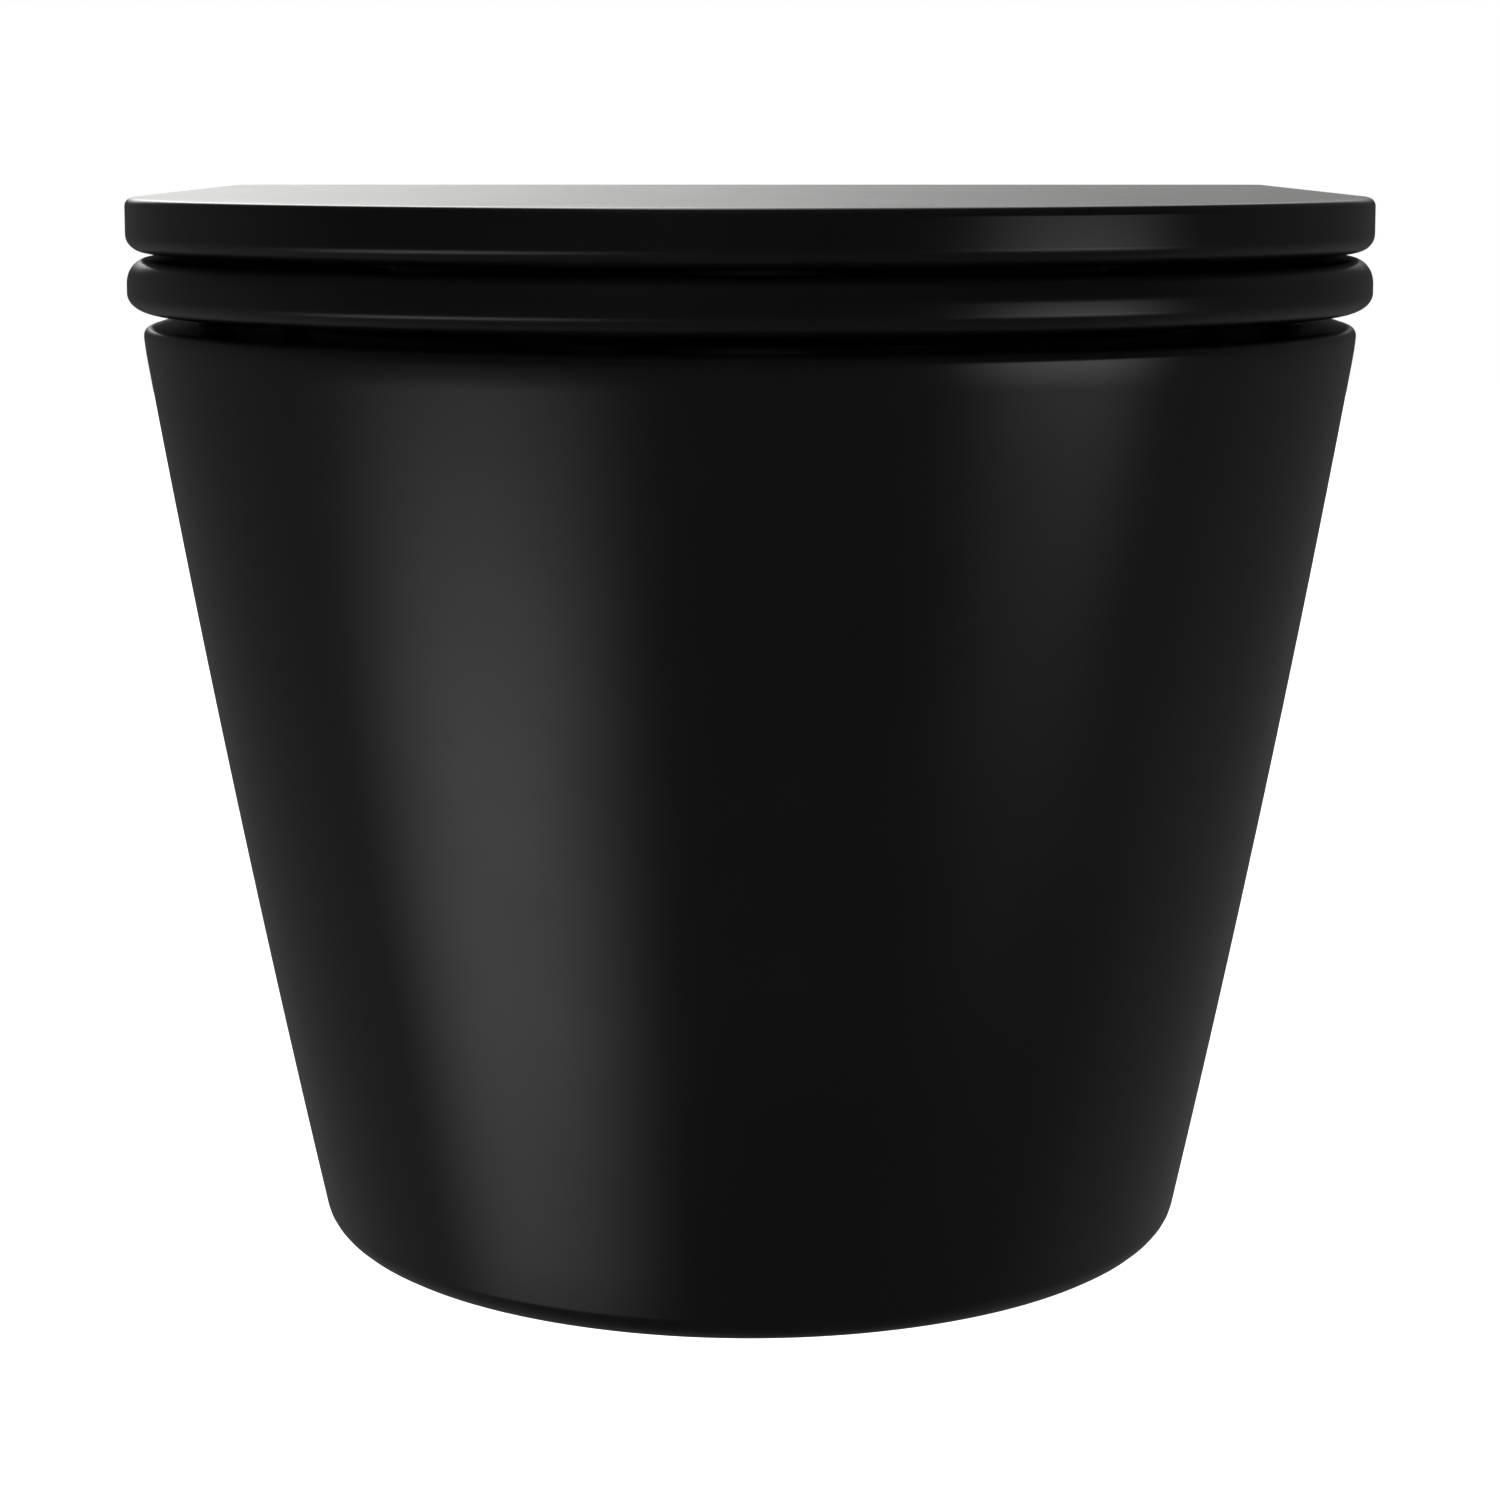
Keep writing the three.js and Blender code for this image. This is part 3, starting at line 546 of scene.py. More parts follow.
PAN_LOW, PAN_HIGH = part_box("pan")
RIM_ROUND = 3 * MM
BASE_ROUND = 7 * MM
SIDE_SLOPE = 0.1575
SIDE_BEND = 0.098  # growth of the slope, per metre below the rim
LEAD_IN = 0.55 * MM  # the wall draws in by this much at the rim
LEAD_DEPTH = 10 * MM  # and starts to do so at this depth
WIDEST = -0.340
NOSE_LOSS = 24.5 * MM
WIDEST_SHIFT = 16.7 * MM
RIM_TOP = PAN_HIGH.z
PAN_HEIGHT = PAN_HIGH.z - PAN_LOW.z
RIM_HALF = 176 * MM
RIM_NOSE = 176 * MM
SKIRT_WALL = 13 * MM
SHELL_WALL = 11 * MM
DECK_WALL = 14 * MM
# Half-width, and Y of the front and the back.
BOWL_OPENING = (131 * MM, -472 * MM, -152 * MM)
BOWL_SUMP = (30 * MM, -262 * MM, -198 * MM)
SUMP_BOTTOM = -165 * MM
BOWL_EDGE = 6 * MM
OUTLET_Z = -100 * MM
OUTLET_BORE = 42 * MM
OUTLET_HORN = 51 * MM
OUTLET_DEPTH = 88 * MM
INLET_Z = 35 * MM
INLET_BORE = 27.5 * MM
INLET_DEPTH = 175 * MM
TRAP_RADIUS = 27 * MM
SOCKET_RADIUS = 16.3 * MM
SOCKET_DEPTH = 78 * MM
BOSS_X = (65 * MM, 200 * MM)  # from inside the sockets to past the wall
BOSS_DEPTH = 89 * MM
BOSS_HALF = 27 * MM
BOSS_ROUND = 7 * MM
LOCK_WAY = 6 * MM
DECK_HOLE = 8 * MM
CAP_SEAT = (8 * MM, -7 * MM, 8 * MM)  # radius, and its ends from the outer wall
OVERRUN = 10 * MM  # how far a cutter goes past the face that it opens
HOLLOW_OVERRUN = 3 * MM

FRONT_STEPS = 120
SIDE_STEPS = 24
REAR_STEPS = 24
CORNER_STEPS = 6
SIDE_ANGLE = math.radians(50)


def d_ring(half, nose, widest, rear, z, corner=0.0):
    """D outline at height z: half-ellipse front, straight sides, straight rear with rounded corners."""
    ring = []
    for i in range(FRONT_STEPS):
        angle = math.pi + math.pi * i / FRONT_STEPS
        ring.append((half * math.cos(angle), widest + nose * math.sin(angle), z))
    straight = rear - corner - widest
    for i in range(SIDE_STEPS):
        ring.append((half, widest + straight * i / SIDE_STEPS, z))
    turn = CORNER_STEPS if corner > 0 else 0
    for i in range(turn):
        angle = math.pi / 2 * i / turn
        ring.append((half - corner + corner * math.cos(angle), rear - corner + corner * math.sin(angle), z))
    reach = half - corner
    for i in range(REAR_STEPS):
        ring.append((reach - 2 * reach * i / REAR_STEPS, rear, z))
    for i in range(turn):
        angle = math.pi / 2 + math.pi / 2 * i / turn
        x = -half + corner + corner * math.cos(angle)
        ring.append((x, rear - corner + corner * math.sin(angle), z))
    for i in range(SIDE_STEPS):
        ring.append((-half, rear - corner - straight * i / SIDE_STEPS, z))
    return ring


def bend(value, squareness):
    """A sine or cosine bent towards a squarer oval."""
    return math.copysign(abs(value) ** (2 / squareness), value)


def oval_ring(half, front, back, z, corner_turns=0, squareness=2.25):
    """Oval at height z whose points pair up with those of a D ring."""
    middle, reach = (front + back) / 2, (back - front) / 2
    angles = [math.pi + math.pi * i / FRONT_STEPS for i in range(FRONT_STEPS)]
    rear_span = math.pi - 2 * SIDE_ANGLE
    angles += [SIDE_ANGLE * i / SIDE_STEPS for i in range(SIDE_STEPS)]
    angles += [SIDE_ANGLE] * corner_turns
    angles += [SIDE_ANGLE + rear_span * i / REAR_STEPS for i in range(REAR_STEPS)]
    angles += [math.pi - SIDE_ANGLE] * corner_turns
    angles += [math.pi - SIDE_ANGLE * (1 - i / SIDE_STEPS) for i in range(SIDE_STEPS)]
    return [
        (half * bend(math.cos(a), squareness), middle + reach * bend(math.sin(a), squareness), z)
        for a in angles
    ]


def pan_ring(z, inset=0.0, rear=0.0):
    """Outline of the pan at height z, drawn in by an inset."""
    depth = max(0.0, RIM_TOP - z)
    share = depth / PAN_HEIGHT
    inset += LEAD_IN * max(0.0, 1 - depth / LEAD_DEPTH) ** 2
    half = RIM_HALF - SIDE_SLOPE * depth - SIDE_BEND * depth**2 - inset
    nose = RIM_NOSE - NOSE_LOSS * share - inset
    return d_ring(half, nose, WIDEST + WIDEST_SHIFT * share, rear, z)


def quarter(width, height, count):
    """(inset, rise) steps round a quarter ellipse, from the flat face to the wall."""
    return [
        (width * (1 - math.sin(math.pi / 2 * i / count)), height * (1 - math.cos(math.pi / 2 * i / count)))
        for i in range(count + 1)
    ]


def bowl_ring(z, wall=0.0):
    """Section of the bowl at height z, grown by a wall."""
    bottom = SUMP_BOTTOM - wall
    share = min(1.0, max(0.0, (RIM_TOP - z) / (RIM_TOP - bottom)))
    half = BOWL_OPENING[0] + (BOWL_SUMP[0] - BOWL_OPENING[0]) * share**1.6 + wall
    front = BOWL_OPENING[1] + (BOWL_SUMP[1] - BOWL_OPENING[1]) * share**1.5 - wall
    back = BOWL_OPENING[2] + (BOWL_SUMP[2] - BOWL_OPENING[2]) * share**3 + wall
    return oval_ring(half, front, back, z)


# Y and Z of the middle of the trap way, in millimetres, from the sump over the weir to the outlet.
TRAP_POINTS = (
    (-246, -131), (-220, -143), (-188, -132), (-160, -96), (-137, -57), (-108, -43), (-84, -62), (-70, -92),
)


def catmull(points, per_span):
    """Points along a uniform Catmull-Rom curve through the given points."""
    points = [Vector(p) for p in points]
    ends = [points[0] * 2 - points[1], *points, points[-1] * 2 - points[-2]]
    out = []
    for a, b, c, d in zip(ends, ends[1:], ends[2:], ends[3:]):
        for i in range(per_span):
            t = i / per_span
            out.append(
                0.5 * (2 * b + (c - a) * t + (2 * a - 5 * b + 4 * c - d) * t**2
                       + (3 * b - a - 3 * c + d) * t**3)
            )
    out.append(points[-1])
    return out


def swept(name, path, radius, sides=40):
    """A round tube with flat ends along a path that stays in a plane of constant X."""
    rings = []
    for i, here in enumerate(path):
        before, after = path[max(0, i - 1)], path[min(len(path) - 1, i + 1)]
        along = (after - before).normalized()
        across = Vector((1, 0, 0))
        up = across.cross(along)
        turns = [2 * math.pi * k / sides for k in range(sides)]
        rings.append([here + (across * math.cos(turn) + up * math.sin(turn)) * radius for turn in turns])
    return loft(name, rings)


def trap_tube(name, radius):
    """The way of the water through the trap, as a solid of some radius."""
    path = catmull([(0, y * MM, z * MM) for y, z in TRAP_POINTS], 5)
    return swept(name, path, radius)


def bore(name, axis, centre, radius, low, high, segments=64):
    """A plain round cutter from low to high along an axis."""
    return turned(name, [(0, low), (radius, low), (radius, high), (0, high)], axis, centre, segments)


def pan_rings():
    """Sections of the solid pan: up the outside, over the rim and down the bowl."""
    low, high = PAN_LOW.z + BASE_ROUND, RIM_TOP - LEAD_DEPTH
    rings = [pan_ring(PAN_LOW.z + rise, inset) for inset, rise in quarter(BASE_ROUND, BASE_ROUND, 7)]
    rings += [pan_ring(low + (high - low) * i / 20) for i in range(1, 21)]
    rings += [pan_ring(high + (LEAD_DEPTH - RIM_ROUND) * i / 6) for i in range(1, 6)]
    rings += [pan_ring(RIM_TOP - rise, inset) for inset, rise in reversed(quarter(RIM_ROUND, RIM_ROUND, 6))]
    half, front, back = BOWL_OPENING
    for grow, fall in quarter(BOWL_EDGE, BOWL_EDGE, 6)[:-1]:
        rings.append(oval_ring(half + grow, front - grow, back + grow, RIM_TOP - fall))
    deep = 40
    for i in range(deep + 1):
        share = (i / deep) ** 0.9
        rings.append(bowl_ring(RIM_TOP - BOWL_EDGE + (SUMP_BOTTOM - RIM_TOP + BOWL_EDGE) * share))
    return rings


def pan_hollow():
    """The space between the skirt and the bowl, open at the rear, round all that stands in it."""
    floor, ceiling = PAN_LOW.z + SKIRT_WALL, RIM_TOP - DECK_WALL
    hollow = loft("hollow", [
        pan_ring(floor + (ceiling - floor) * i / 6, SKIRT_WALL, HOLLOW_OVERRUN) for i in range(7)
    ])
    rise = RIM_TOP - SUMP_BOTTOM + SHELL_WALL
    shell = loft("shell", [
        bowl_ring(SUMP_BOTTOM - SHELL_WALL + rise * (i / 14) ** 1.25, SHELL_WALL) for i in range(15)
    ])
    keep = [
        shell,
        trap_tube("trap_shell", TRAP_RADIUS + SHELL_WALL),
        bore("horn", "y", (0, 0, OUTLET_Z), OUTLET_HORN, -OUTLET_DEPTH - SHELL_WALL, OVERRUN),
        bore("channel", "y", (0, 0, INLET_Z), INLET_BORE + SHELL_WALL, -INLET_DEPTH, OVERRUN),
    ]
    for name, side in SIDES:
        x0, x1 = side_span(side, *BOSS_X)
        boss = box_solid("boss_" + name, (x0, -BOSS_DEPTH, -BOSS_HALF), (x1, 3 * OVERRUN, BOSS_HALF))
        keep.append(bevel(boss, BOSS_ROUND, 5))
    return apply_boolean(hollow, keep)


def make_pan(materials):
    """One body of ceramic: the ways are cut first and the hollow last."""
    pan = loft("pan_ceramic", pan_rings())
    hollow = pan_hollow()
    cuts = [
        trap_tube("trap_way", TRAP_RADIUS),
        bore("outlet", "y", (0, 0, OUTLET_Z), OUTLET_BORE, -OUTLET_DEPTH, OVERRUN),
        bore("inlet", "y", (0, 0, INLET_Z), INLET_BORE, -INLET_DEPTH, OVERRUN),
    ]
    for name, side in SIDES:
        x = centre_of("wall_disc_" + name).x
        post = centre_of("hinge_post_" + name)
        cap_y = centre_of("side_cap_" + name).y
        cuts.append(bore("socket", "y", (x, 0, 0), SOCKET_RADIUS, -SOCKET_DEPTH, OVERRUN, 48))
        way = side_span(side, 90 * MM, RIM_HALF)
        cuts.append(bore("lock_way", "x", (0, cap_y, 0), LOCK_WAY, *way, 32))
        deck = (40 * MM, RIM_TOP + OVERRUN)
        cuts.append(bore("deck_hole", "z", (post.x, post.y, 0), DECK_HOLE, *deck, 48))
        cuts.append(bore("cap_seat", *side_wall(side, cap_y), *CAP_SEAT, 48))
    apply_boolean(pan, [*cuts, hollow])
    return stand_for(pan, "pan", materials, 35)


def side_half(z):
    """Half-width of the pan at height z, on its straight sides."""
    depth = RIM_TOP - z
    return RIM_HALF - SIDE_SLOPE * depth - SIDE_BEND * depth**2


def side_wall(side, y):
    """The outward direction and the place of the pan's side wall at the height of the bolts."""
    tilt = math.atan(SIDE_SLOPE + 2 * SIDE_BEND * RIM_TOP)
    outward = Vector((side * math.cos(tilt), 0, -math.sin(tilt)))
    return outward, Vector((side * side_half(0), y, 0))


# ---------------------------------------------------------------- seat and lid

SEAT_LOW, SEAT_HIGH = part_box("seat_ring")
LID_LOW, LID_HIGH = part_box("lid")
SEAT_BOTTOM = SEAT_LOW.z
SEAT_TOP = 100.9 * MM
SEAT_HALF = SEAT_HIGH.x
SEAT_REAR = -102 * MM
SEAT_OPENING = (112 * MM, -463 * MM, -206 * MM)
LID_BOTTOM = 102.6 * MM
LID_TOP = LID_HIGH.z
LID_HALF = LID_HIGH.x
LID_REAR = LID_HIGH.y
LID_PANEL = 9 * MM
HINGE_Y = JOINTS["seat_hinge"]["pos_m"][1]
HINGE_Z = JOINTS["seat_hinge"]["pos_m"][2]
NOTCH_HALF = 106 * MM
NOTCH_FRONT = -121 * MM
KNUCKLE = 8 * MM
PIN = 2.8 * MM
POST_X = 77.5 * MM
HOUSING_LENGTH = 56 * MM
HOUSING_RADIUS = 9.5 * MM
KNUCKLE_GAP = 0.8 * MM
ARM_X = 5.05 * MM  # from the middle of a post to the middle of a fork arm
ARM_HALF = 0.7 * MM
CORNER = 6 * MM
# Rounds of the edges: width, height and steps.
SEAT_BELOW = (8 * MM, 5.6 * MM, 12)
SEAT_ABOVE = (6.5 * MM, 7.2 * MM, 10)
SEAT_MOUTH = (9 * MM, 8.5 * MM, 10)
SEAT_INSIDE = (3 * MM, 3 * MM, 5)
LID_BELOW = (5.6 * MM, 5 * MM, 10)
LID_ABOVE = (2.5 * MM, 2.5 * MM, 8)
RECESS_INSET = 24 * MM
RECESS_ROUND = (4 * MM, 4 * MM, 5)
BAY_HALF = 128 * MM
KNUCKLE_LENGTH = 16 * MM
PIN_WAY = PIN + 0.3 * MM
PIN_DEPTH = 13.5 * MM
CARTRIDGE = 6.2 * MM  # radius of a damper cartridge
BUSH = 4 * MM
BUTTON_DEPTH = 4.2 * MM
BUTTON_TRAVEL = 2 * MM
RELEASE_Z = (91.7 * MM, 94.3 * MM)  # the slots of the fork in the housing


def plate_rings(half, rear, bottom, top, below, above, rear_share):
    """D rings of a plate with an elliptical round below and another above."""
    levels = [(bottom + rise, inset) for inset, rise in quarter(*below)]
    levels += [(top - rise, inset) for inset, rise in reversed(quarter(*above))]
    rings = []
    last = None
    for z, inset in levels:
        if last is not None and z < last + 1e-6:
            continue
        back = rear - min(inset * rear_share, 2.5 * MM)
        rings.append(d_ring(half - inset, half - inset, WIDEST, back, z, CORNER))
        last = z
    return rings


def make_seat(materials):
    """The seat ring with its notch for the hinges and a knuckle at either end of the notch."""
    rings = plate_rings(SEAT_HALF, SEAT_REAR, SEAT_BOTTOM, SEAT_TOP, SEAT_BELOW, SEAT_ABOVE, 0.33)
    half, front, back = SEAT_OPENING
    inner = [(SEAT_TOP - fall, grow) for grow, fall in quarter(*SEAT_MOUTH)]
    inner += [(SEAT_BOTTOM + rise, grow) for grow, rise in reversed(quarter(*SEAT_INSIDE))]
    for z, grow in inner:
        rings.append(oval_ring(half + grow, front - grow, back + grow, z, CORNER_STEPS, 2.1))
    seat = loft("seat_ring_gloss", rings, closed=True)
    notch = box_solid("notch", (-NOTCH_HALF, NOTCH_FRONT, 0), (NOTCH_HALF, 0, 0.2))
    apply_boolean(seat, notch)
    for _, side in SIDES:
        start = POST_X + HOUSING_LENGTH / 2 + KNUCKLE_GAP
        x0, x1 = side_span(side, start, start + KNUCKLE_LENGTH)
        profile = soften([(0, x0), (KNUCKLE, x0), (KNUCKLE, x1), (0, x1)], 1.2 * MM)
        knuckle = turned("knuckle", profile, "x", (0, HINGE_Y, HINGE_Z), 48)
        apply_boolean(seat, knuckle, "UNION")
        way = side_span(side, 100 * MM, start + PIN_DEPTH + MM)
        apply_boolean(seat, bore("pin_way", "x", (0, HINGE_Y, HINGE_Z), PIN_WAY, *way, 32))
    return stand_for(seat, "seat_ring", materials, 32)


def make_lid(materials):
    """The lid: hollow below with a rim all round, a bay for the hinges and one long knuckle."""
    rings = plate_rings(LID_HALF, LID_REAR, LID_BOTTOM, LID_TOP, LID_BELOW, LID_ABOVE, 1.0)
    lid = loft("lid_gloss", rings)
    ceiling = LID_TOP - LID_PANEL
    half = LID_HALF - RECESS_INSET + 2 * MM
    recess_rings = [d_ring(half, half, WIDEST, NOTCH_FRONT, LID_BOTTOM - 2 * MM, CORNER)]
    for shrink, rise in reversed(quarter(*RECESS_ROUND)):
        half = LID_HALF - RECESS_INSET - shrink
        recess_rings.append(d_ring(half, half, WIDEST, NOTCH_FRONT - shrink, ceiling - rise, CORNER))
    recess = loft("recess", recess_rings)
    bay = box_solid("bay", (-BAY_HALF, NOTCH_FRONT - 4.5 * MM, 0), (BAY_HALF, 0, ceiling))
    apply_boolean(lid, [recess, bay])
    reach = POST_X - HOUSING_LENGTH / 2 - KNUCKLE_GAP
    apply_boolean(lid, lid_knuckle(reach, ceiling + MM), "UNION")
    for _, side in SIDES:
        way = side_span(side, reach - PIN_DEPTH, reach + 5 * MM)
        apply_boolean(lid, bore("pin_way", "x", (0, HINGE_Y, HINGE_Z), PIN_WAY, *way, 32))
    return stand_for(lid, "lid", materials, 32)


def lid_knuckle(reach, top):
    """The long knuckle of the lid: round below, straight up to the lid, with softened edges."""
    outline = []
    for i in range(25):
        angle = math.pi + math.pi * i / 24
        outline.append((HINGE_Y + KNUCKLE * math.cos(angle), HINGE_Z + KNUCKLE * math.sin(angle)))
    outline += [(HINGE_Y + KNUCKLE, top), (HINGE_Y - KNUCKLE, top)]
    piece = loft("lid_knuckle", [[(x, y, z) for y, z in outline] for x in (-reach, reach)])
    return bevel(piece, 0.8 * MM, 3, 60)


# ---------------------------------------------------------------- small pieces


def pad(name, node, materials):
    """Rubber pad with straight sides, round ends and softened edges."""
    low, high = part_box(node)
    middle = (low + high) / 2
    half = (high.x - low.x) / 2
    straight = (high.y - low.y) / 2 - half
    height = high.z - low.z
    edge = min(1.1 * MM, height * 0.4)

    def ring(inset, z):
        radius = half - inset
        points = []
        for start, shift in ((0, straight), (math.pi, -straight)):
            for i in range(17):
                angle = start + math.pi * i / 16
                y = middle.y + shift + radius * math.sin(angle)
                points.append((middle.x + radius * math.cos(angle), y, z))
        return points

    rings = [ring(inset, low.z + rise) for inset, rise in quarter(edge, edge, 4)]
    rings += [ring(inset, high.z - rise) for inset, rise in reversed(quarter(edge, edge, 4))]
    return stand_for(loft(name, rings), node, materials)


def threaded(radius, low, high, pitch, depth):
    """Profile of a stud: ridges of a thread between plain, chamfered ends."""
    profile = [(0, low), (radius - depth, low), (radius, low + pitch)]
    count = int((high - low - 2 * pitch) / pitch)
    for i in range(count):
        start = low + pitch * (i + 1)
        profile += [(radius, start + 0.1 * pitch), (radius - depth, start + 0.5 * pitch)]
        profile += [(radius, start + 0.9 * pitch)]
    return profile + [(radius - depth, high), (0, high)]


def turned_piece(name, node, profile, axis, centre, materials, segments=56, angle=40):
    """A turned solid that takes over a CAD node."""
    return stand_for(turned(name, profile, axis, centre, segments), node, materials, angle)


def hex_nut(name, node, materials):
    """Hexagon nut with chamfered corners and a plain bore."""
    low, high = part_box(node)
    middle = (low + high) / 2
    radius = (high.z - low.z) / 2
    centre = (middle.x, 0, middle.z)
    profile = [(0, low.y), (radius, low.y), (radius, high.y), (0, high.y)]
    hexagon = turned(name, profile, "y", centre, 6)
    face, widest = radius * 0.88, radius * 1.02
    profile = [(0, low.y - MM), (face, low.y - MM), (face, low.y), (widest, low.y + 1.2 * MM),
               (widest, high.y - 1.2 * MM), (face, high.y), (face, high.y + MM), (0, high.y + MM)]
    chamfer = turned("chamfer", profile, "y", centre, 64)
    apply_boolean(hexagon, chamfer, "INTERSECT")
    apply_boolean(hexagon, bore("bore", "y", centre, 5.6 * MM, low.y - MM, high.y + MM, 48))
    return stand_for(hexagon, node, materials, 25)


def make_wall_fixing(name, side, materials):
    """The concealed fixing: disc, sleeve, barrel and nut in the socket, and the screw that locks them."""
    x = centre_of("wall_disc_" + name).x
    centre = (x, 0, 0)
    low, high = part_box("wall_disc_" + name)
    disc = tube_ring(6.5 * MM, 15.8 * MM, low.y, high.y, 0.6 * MM)
    turned_piece("disc_" + name, "wall_disc_" + name, disc, "y", centre, materials)

    lock_y = centre_of("locking_screw_" + name).y
    way = side_span(side, 90 * MM, 120 * MM)
    low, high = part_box("fixing_barrel_" + name)
    bore_radius, neck, step = 6.3 * MM, 10.4 * MM, -30 * MM
    profile = [(bore_radius, high.y), (12 * MM, high.y), (12 * MM, low.y), (neck, low.y),
               (neck, step), (bore_radius, step)]
    barrel = turned("barrel_" + name, soften(profile, 0.5 * MM, closed=True), "y", centre, 56)
    apply_boolean(barrel, bore("lock", "x", (0, lock_y, 0), 4.4 * MM, *way, 32))
    stand_for(barrel, "fixing_barrel_" + name, materials, 35)

    low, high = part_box("fixing_sleeve_" + name)
    profile = tube_ring(12.3 * MM, 16 * MM, low.y, high.y, 0.6 * MM)
    sleeve = turned("sleeve_" + name, profile, "y", centre, 56)
    apply_boolean(sleeve, bore("lock", "x", (0, lock_y, 0), LOCK_WAY, *way, 32))
    stand_for(sleeve, "fixing_sleeve_" + name, materials, 35)
    hex_nut("nut_" + name, "fixing_nut_" + name, materials)

    low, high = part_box("locking_screw_" + name)
    inner, outer = (low.x, high.x) if side > 0 else (high.x, low.x)
    outward = (side, 0, 0)
    profile = threaded(4 * MM, 0, high.x - low.x, 1.25 * MM, 0.5 * MM)
    screw = turned("locking_screw_steel_" + name, profile, outward, (inner, lock_y, 0), 32)
    hexagon = [(0, -5 * MM), (2.3 * MM, -5 * MM), (2.3 * MM, MM), (0, MM)]
    apply_boolean(screw, turned("socket", hexagon, outward, (outer, lock_y, 0), 6))
    stand_for(screw, "locking_screw_" + name, materials, 25)

    hollow, plug, head = 6 * MM, 7.7 * MM, 10.5 * MM
    cap = [(0, -1.2 * MM), (hollow, -1.2 * MM), (hollow, -6 * MM), (plug, -6 * MM), (plug, 0.5 * MM),
           (head, 0.5 * MM), (head, 1.6 * MM), (head - MM, 2 * MM), (0, 2 * MM)]
    turned_piece("cap_" + name, "side_cap_" + name, soften(cap, 0.4 * MM), *side_wall(side, lock_y),
                 materials, 64)


def make_seat_post(name, materials):
    """A hinge post on its rosette, and what holds it in the deck: stud, sleeve and cone nut."""
    post_low, post_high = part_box("hinge_post_" + name)
    low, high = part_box("post_rosette_" + name)
    centre = (*centre_of("hinge_post_" + name).xy, 0)
    hole, edge, foot = 6.6 * MM, 22 * MM, 6.3 * MM
    rosette = [(hole, low.z), (edge, low.z), (edge, low.z + 0.9 * MM)]
    for k in range(1, 7):
        angle = math.pi / 2 * k / 6
        fall = 1.3 * MM * (1 - math.sin(angle))
        rosette.append((edge - 2.6 * MM * (1 - math.cos(angle)), high.z - fall))
    rosette += [(8 * MM, high.z), (hole, high.z - 0.5 * MM)]
    turned_piece("rosette_" + name, "post_rosette_" + name, rosette, "z", centre, materials, 96)

    base, tip = post_low.z, post_high.z
    stud_hole, stem, groove = 2.8 * MM, 4 * MM, 3.2 * MM
    post = [(0, 89 * MM), (stud_hole, 89 * MM), (stud_hole, base), (foot, base), (foot, high.z),
            (stem, high.z + 0.4 * MM), (stem, 91.6 * MM), (groove, 92 * MM), (groove, 94 * MM),
            (stem, 94.4 * MM), (stem, tip - 1.2 * MM), (2.9 * MM, tip), (0, tip)]
    turned_piece("post_" + name, "hinge_post_" + name, soften(post, 0.5 * MM), "z", centre, materials)

    low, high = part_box("expansion_sleeve_" + name)
    outer, valley = 7.4 * MM, 6.7 * MM
    ribs = [(stud_hole, low.z), (outer - 0.8 * MM, low.z)]
    rib_count = 7
    pitch = (high.z - low.z - 4 * MM) / rib_count
    for i in range(rib_count):
        start = low.z + MM + pitch * i
        ribs += [(valley, start), (outer, start + 0.25 * pitch), (outer, start + 0.7 * pitch),
                 (valley, start + 0.9 * pitch)]
    ribs += [(outer, high.z - 2.2 * MM), (outer, high.z), (stud_hole, high.z)]
    turned_piece("expander_" + name, "expansion_sleeve_" + name, soften(ribs, 0.3 * MM, 2, True), "z",
                 centre, materials)

    low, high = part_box("cone_nut_" + name)
    cone = [(stud_hole, low.z), (7 * MM, low.z), (7 * MM, low.z + MM), (4.5 * MM, high.z),
            (stud_hole, high.z)]
    turned_piece("cone_" + name, "cone_nut_" + name, soften(cone, 0.5 * MM, closed=True), "z",
                 centre, materials)
    low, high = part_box("hinge_stud_" + name)
    stud = threaded(2.5 * MM, low.z, high.z, 0.8 * MM, 0.35 * MM)
    turned_piece("stud_" + name, "hinge_stud_" + name, stud, "z", centre, materials, 32, 25)


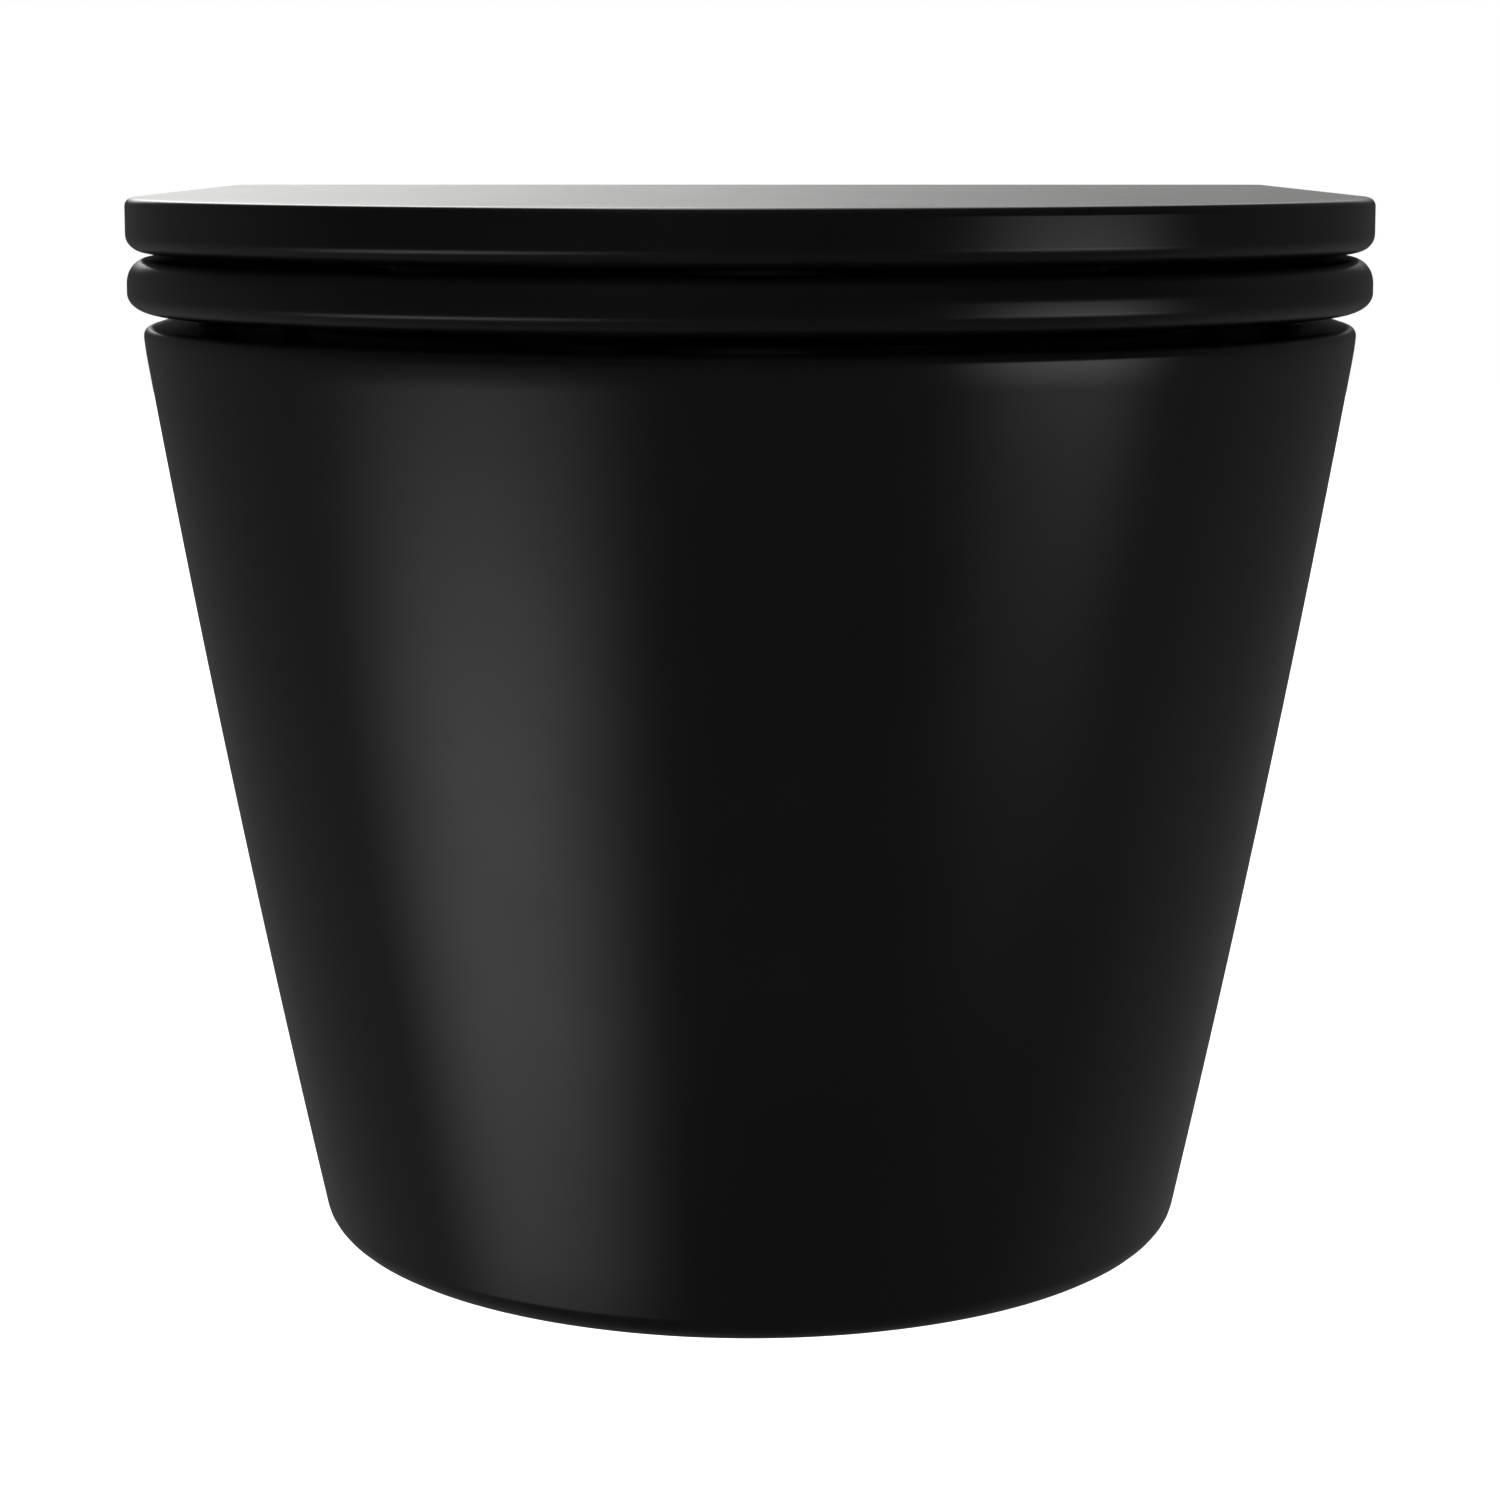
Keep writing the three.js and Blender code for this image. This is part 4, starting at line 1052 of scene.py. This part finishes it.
def make_housing(name, side, materials):
    """A hinge barrel over its post, with seats for the cartridges and slots for the release button."""
    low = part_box("hinge_housing_" + name)[0]
    x = side * POST_X
    inner, outer = POST_X - HOUSING_LENGTH / 2, POST_X + HOUSING_LENGTH / 2
    x0, x1 = side_span(side, inner, outer)
    axis_point = (0, HINGE_Y, HINGE_Z)
    profile = [(0, x0), (HOUSING_RADIUS, x0), (HOUSING_RADIUS, x1), (0, x1)]
    bar = turned("housing_" + name, soften(profile, 1.4 * MM, 6), "x", axis_point, 72)
    reach, gap, slack = 8.8 * MM, 0.3 * MM, 5 * MM
    profile = [(0, low.z), (reach, low.z), (reach, HINGE_Z), (0, HINGE_Z)]
    neck = turned("neck", soften(profile, MM), "z", (x, HINGE_Y, 0), 64)
    boss = box_solid("boss", (x - reach, HINGE_Y - 9.4 * MM, 87 * MM), (x + reach, HINGE_Y, HINGE_Z))
    apply_boolean(bar, [neck, bevel(boss, 0.9 * MM)], "UNION")

    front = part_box("release_button_" + name)[0].y
    z = centre_of("release_button_" + name).z
    way_end = front + BUTTON_DEPTH + BUTTON_TRAVEL + gap
    low_z, high_z = RELEASE_Z
    half = ARM_X + ARM_HALF + gap
    start, end = (x - half, HINGE_Y - 3 * MM, low_z), (x + half, HINGE_Y + 7.8 * MM, high_z)
    outer_seat = side_span(side, outer - 20 * MM, outer + slack)
    inner_seat = side_span(side, inner - slack, inner + 20 * MM)
    cuts = [
        bore("post_way", "z", (x, HINGE_Y, 0), 4.3 * MM, 0, 104 * MM, 40),
        oval_bar("button_way", x, z, 6.5 * MM, 4.3 * MM, front - slack, way_end, 0),
        box_solid("cross_slot", start, end),
        bore("outer_seat", "x", axis_point, CARTRIDGE + gap, *outer_seat, 48),
        bore("inner_seat", "x", axis_point, CARTRIDGE + gap, *inner_seat, 48),
    ]
    half = ARM_HALF + gap
    for middle in (x - ARM_X, x + ARM_X):
        cuts.append(box_solid("arm_slot", (middle - half, front, low_z), (middle + half, HINGE_Y, high_z)))
    apply_boolean(bar, cuts)
    return stand_for(bar, "hinge_housing_" + name, materials, 32)


def oval_bar(name, x, z, half, rise, y0, y1, edge):
    """A bar along Y with an oval section: straight above and below, round at both sides."""
    def ring(y, inset):
        r = rise - inset
        points = []
        for way in (1, -1):
            for turn in np.linspace(-math.pi / 2, math.pi / 2, 13):
                shift = half - rise + r * math.cos(turn)
                points.append((x + way * shift, y, z + way * r * math.sin(turn)))
        return points

    steps = [(y0, 0), (y1, 0)]
    if edge:
        steps = [(y0 + fall, inset) for inset, fall in quarter(edge, edge, 4)] + [(y1, 0)]
    return loft(name, [ring(y, inset) for y, inset in steps])


def make_button(name, side, materials):
    """A release button: an oval cap with a fork that runs round the post, closed by a cross bar."""
    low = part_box("release_button_" + name)[0]
    x = side * POST_X
    z = centre_of("release_button_" + name).z
    back = low.y + BUTTON_DEPTH
    button = oval_bar("button_" + name, x, z, 6.2 * MM, 4 * MM, low.y, back, 0.8 * MM)
    apply_boolean(button, bore("spring_way", "y", (x, 0, z), 3.1 * MM, low.y + 1.2 * MM, back + 5 * MM, 40))
    near, far = HINGE_Y + 4.4 * MM, HINGE_Y + 5.5 * MM
    half = ARM_X + ARM_HALF
    fork = [
        box_solid("rail", (middle - ARM_HALF, back - MM, z - MM), (middle + ARM_HALF, far, z + MM))
        for middle in (x - ARM_X, x + ARM_X)
    ]
    fork.append(box_solid("cross", (x - half, near, z - MM), (x + half, far, z + MM)))
    apply_boolean(button, fork, "UNION")
    stand_for(button, "release_button_" + name, materials, 32)


def make_spring(name, side, materials):
    """The coil spring behind a release button."""
    low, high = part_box("button_spring_" + name)
    x = side * POST_X
    z = centre_of("release_button_" + name).z
    turns, wire, sides = 3, 0.3 * MM, 10
    coil = (high.x - low.x) / 2 - wire
    steps = turns * 24
    rings = []
    for i in range(steps + 1):
        angle = i / steps * turns * 2 * math.pi
        y = low.y + wire + (high.y - low.y - 2 * wire) * i / steps
        out = Vector((math.cos(angle), 0, math.sin(angle)))
        here = Vector((x, y, z)) + out * coil
        around = [2 * math.pi * k / sides for k in range(sides)]
        rings.append([here + (out * math.cos(a) + Vector((0, 1, 0)) * math.sin(a)) * wire for a in around])
    stand_for(loft("spring_" + name, rings), "button_spring_" + name, materials)


def make_pivot(node, piece_name, side, out, body_radius, materials):
    """A damper cartridge or a bush with its pivot pin; out is +1 where the pin points outward."""
    end = POST_X + out * HOUSING_LENGTH / 2
    direction = Vector((side * out, 0, 0))
    start = Vector((side * end, HINGE_Y, HINGE_Z))
    back = -19.5 * MM
    profile = [(0, back), (CARTRIDGE, back), (CARTRIDGE, -16 * MM), (body_radius, -15.6 * MM),
               (body_radius, -0.5 * MM), (PIN, -0.4 * MM), (PIN, 13.2 * MM), (PIN - 0.6 * MM, 14 * MM),
               (0, 14 * MM)]
    turned_piece(piece_name, node, soften(profile, 0.4 * MM), direction, start, materials)


def make_distributor(materials):
    """The slotted cup that spreads the flush over the bowl."""
    low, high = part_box("flush_distributor")
    outer, wall, floor = 27 * MM, 2.5 * MM, 3 * MM
    profile = [(0, low.y), (outer, low.y), (outer, high.y), (outer - wall, high.y),
               (outer - wall, low.y + floor), (0, low.y + floor)]
    cup = turned("distributor", soften(profile, 0.8 * MM), "y", (0, 0, INLET_Z), 72)
    slots = []
    for middle in (-15 * MM, 0, 15 * MM):
        start = (middle - 4.5 * MM, low.y - 5 * MM, INLET_Z - 14 * MM)
        slots.append(box_solid("slot", start, (middle + 4.5 * MM, low.y + 5 * MM, INLET_Z + 10 * MM)))
    apply_boolean(cup, slots)
    stand_for(cup, "flush_distributor", materials, 32)


def make_small_pieces(materials):
    """Everything but the pan, the seat ring and the lid."""
    for name, side in SIDES:
        make_wall_fixing(name, side, materials)
        make_seat_post(name, materials)
        make_housing(name, side, materials)
        make_button(name, side, materials)
        make_spring(name, side, materials)
        for place in ("seat_buffer_front_", "seat_buffer_rear_", "lid_buffer_front_", "lid_buffer_rear_"):
            pad(place.replace("buffer", "pad") + name, place + name, materials)
    make_pivot("seat_damper_left", "seat_damper_body_left", -1, 1, CARTRIDGE, materials)
    make_pivot("lid_pivot_pin_left", "lid_pin_left", -1, -1, BUSH, materials)
    make_pivot("seat_pivot_pin_right", "seat_pin_right", 1, 1, BUSH, materials)
    make_pivot("lid_damper_right", "lid_damper_body_right", 1, -1, CARTRIDGE, materials)
    make_distributor(materials)


make_camera()
make_world()
make_lights()
MATERIALS = make_materials()
make_floor(MATERIALS)
make_pan(MATERIALS)
make_seat(MATERIALS)
make_lid(MATERIALS)
make_small_pieces(MATERIALS)
bpy.context.scene.view_settings.view_transform = "Standard"
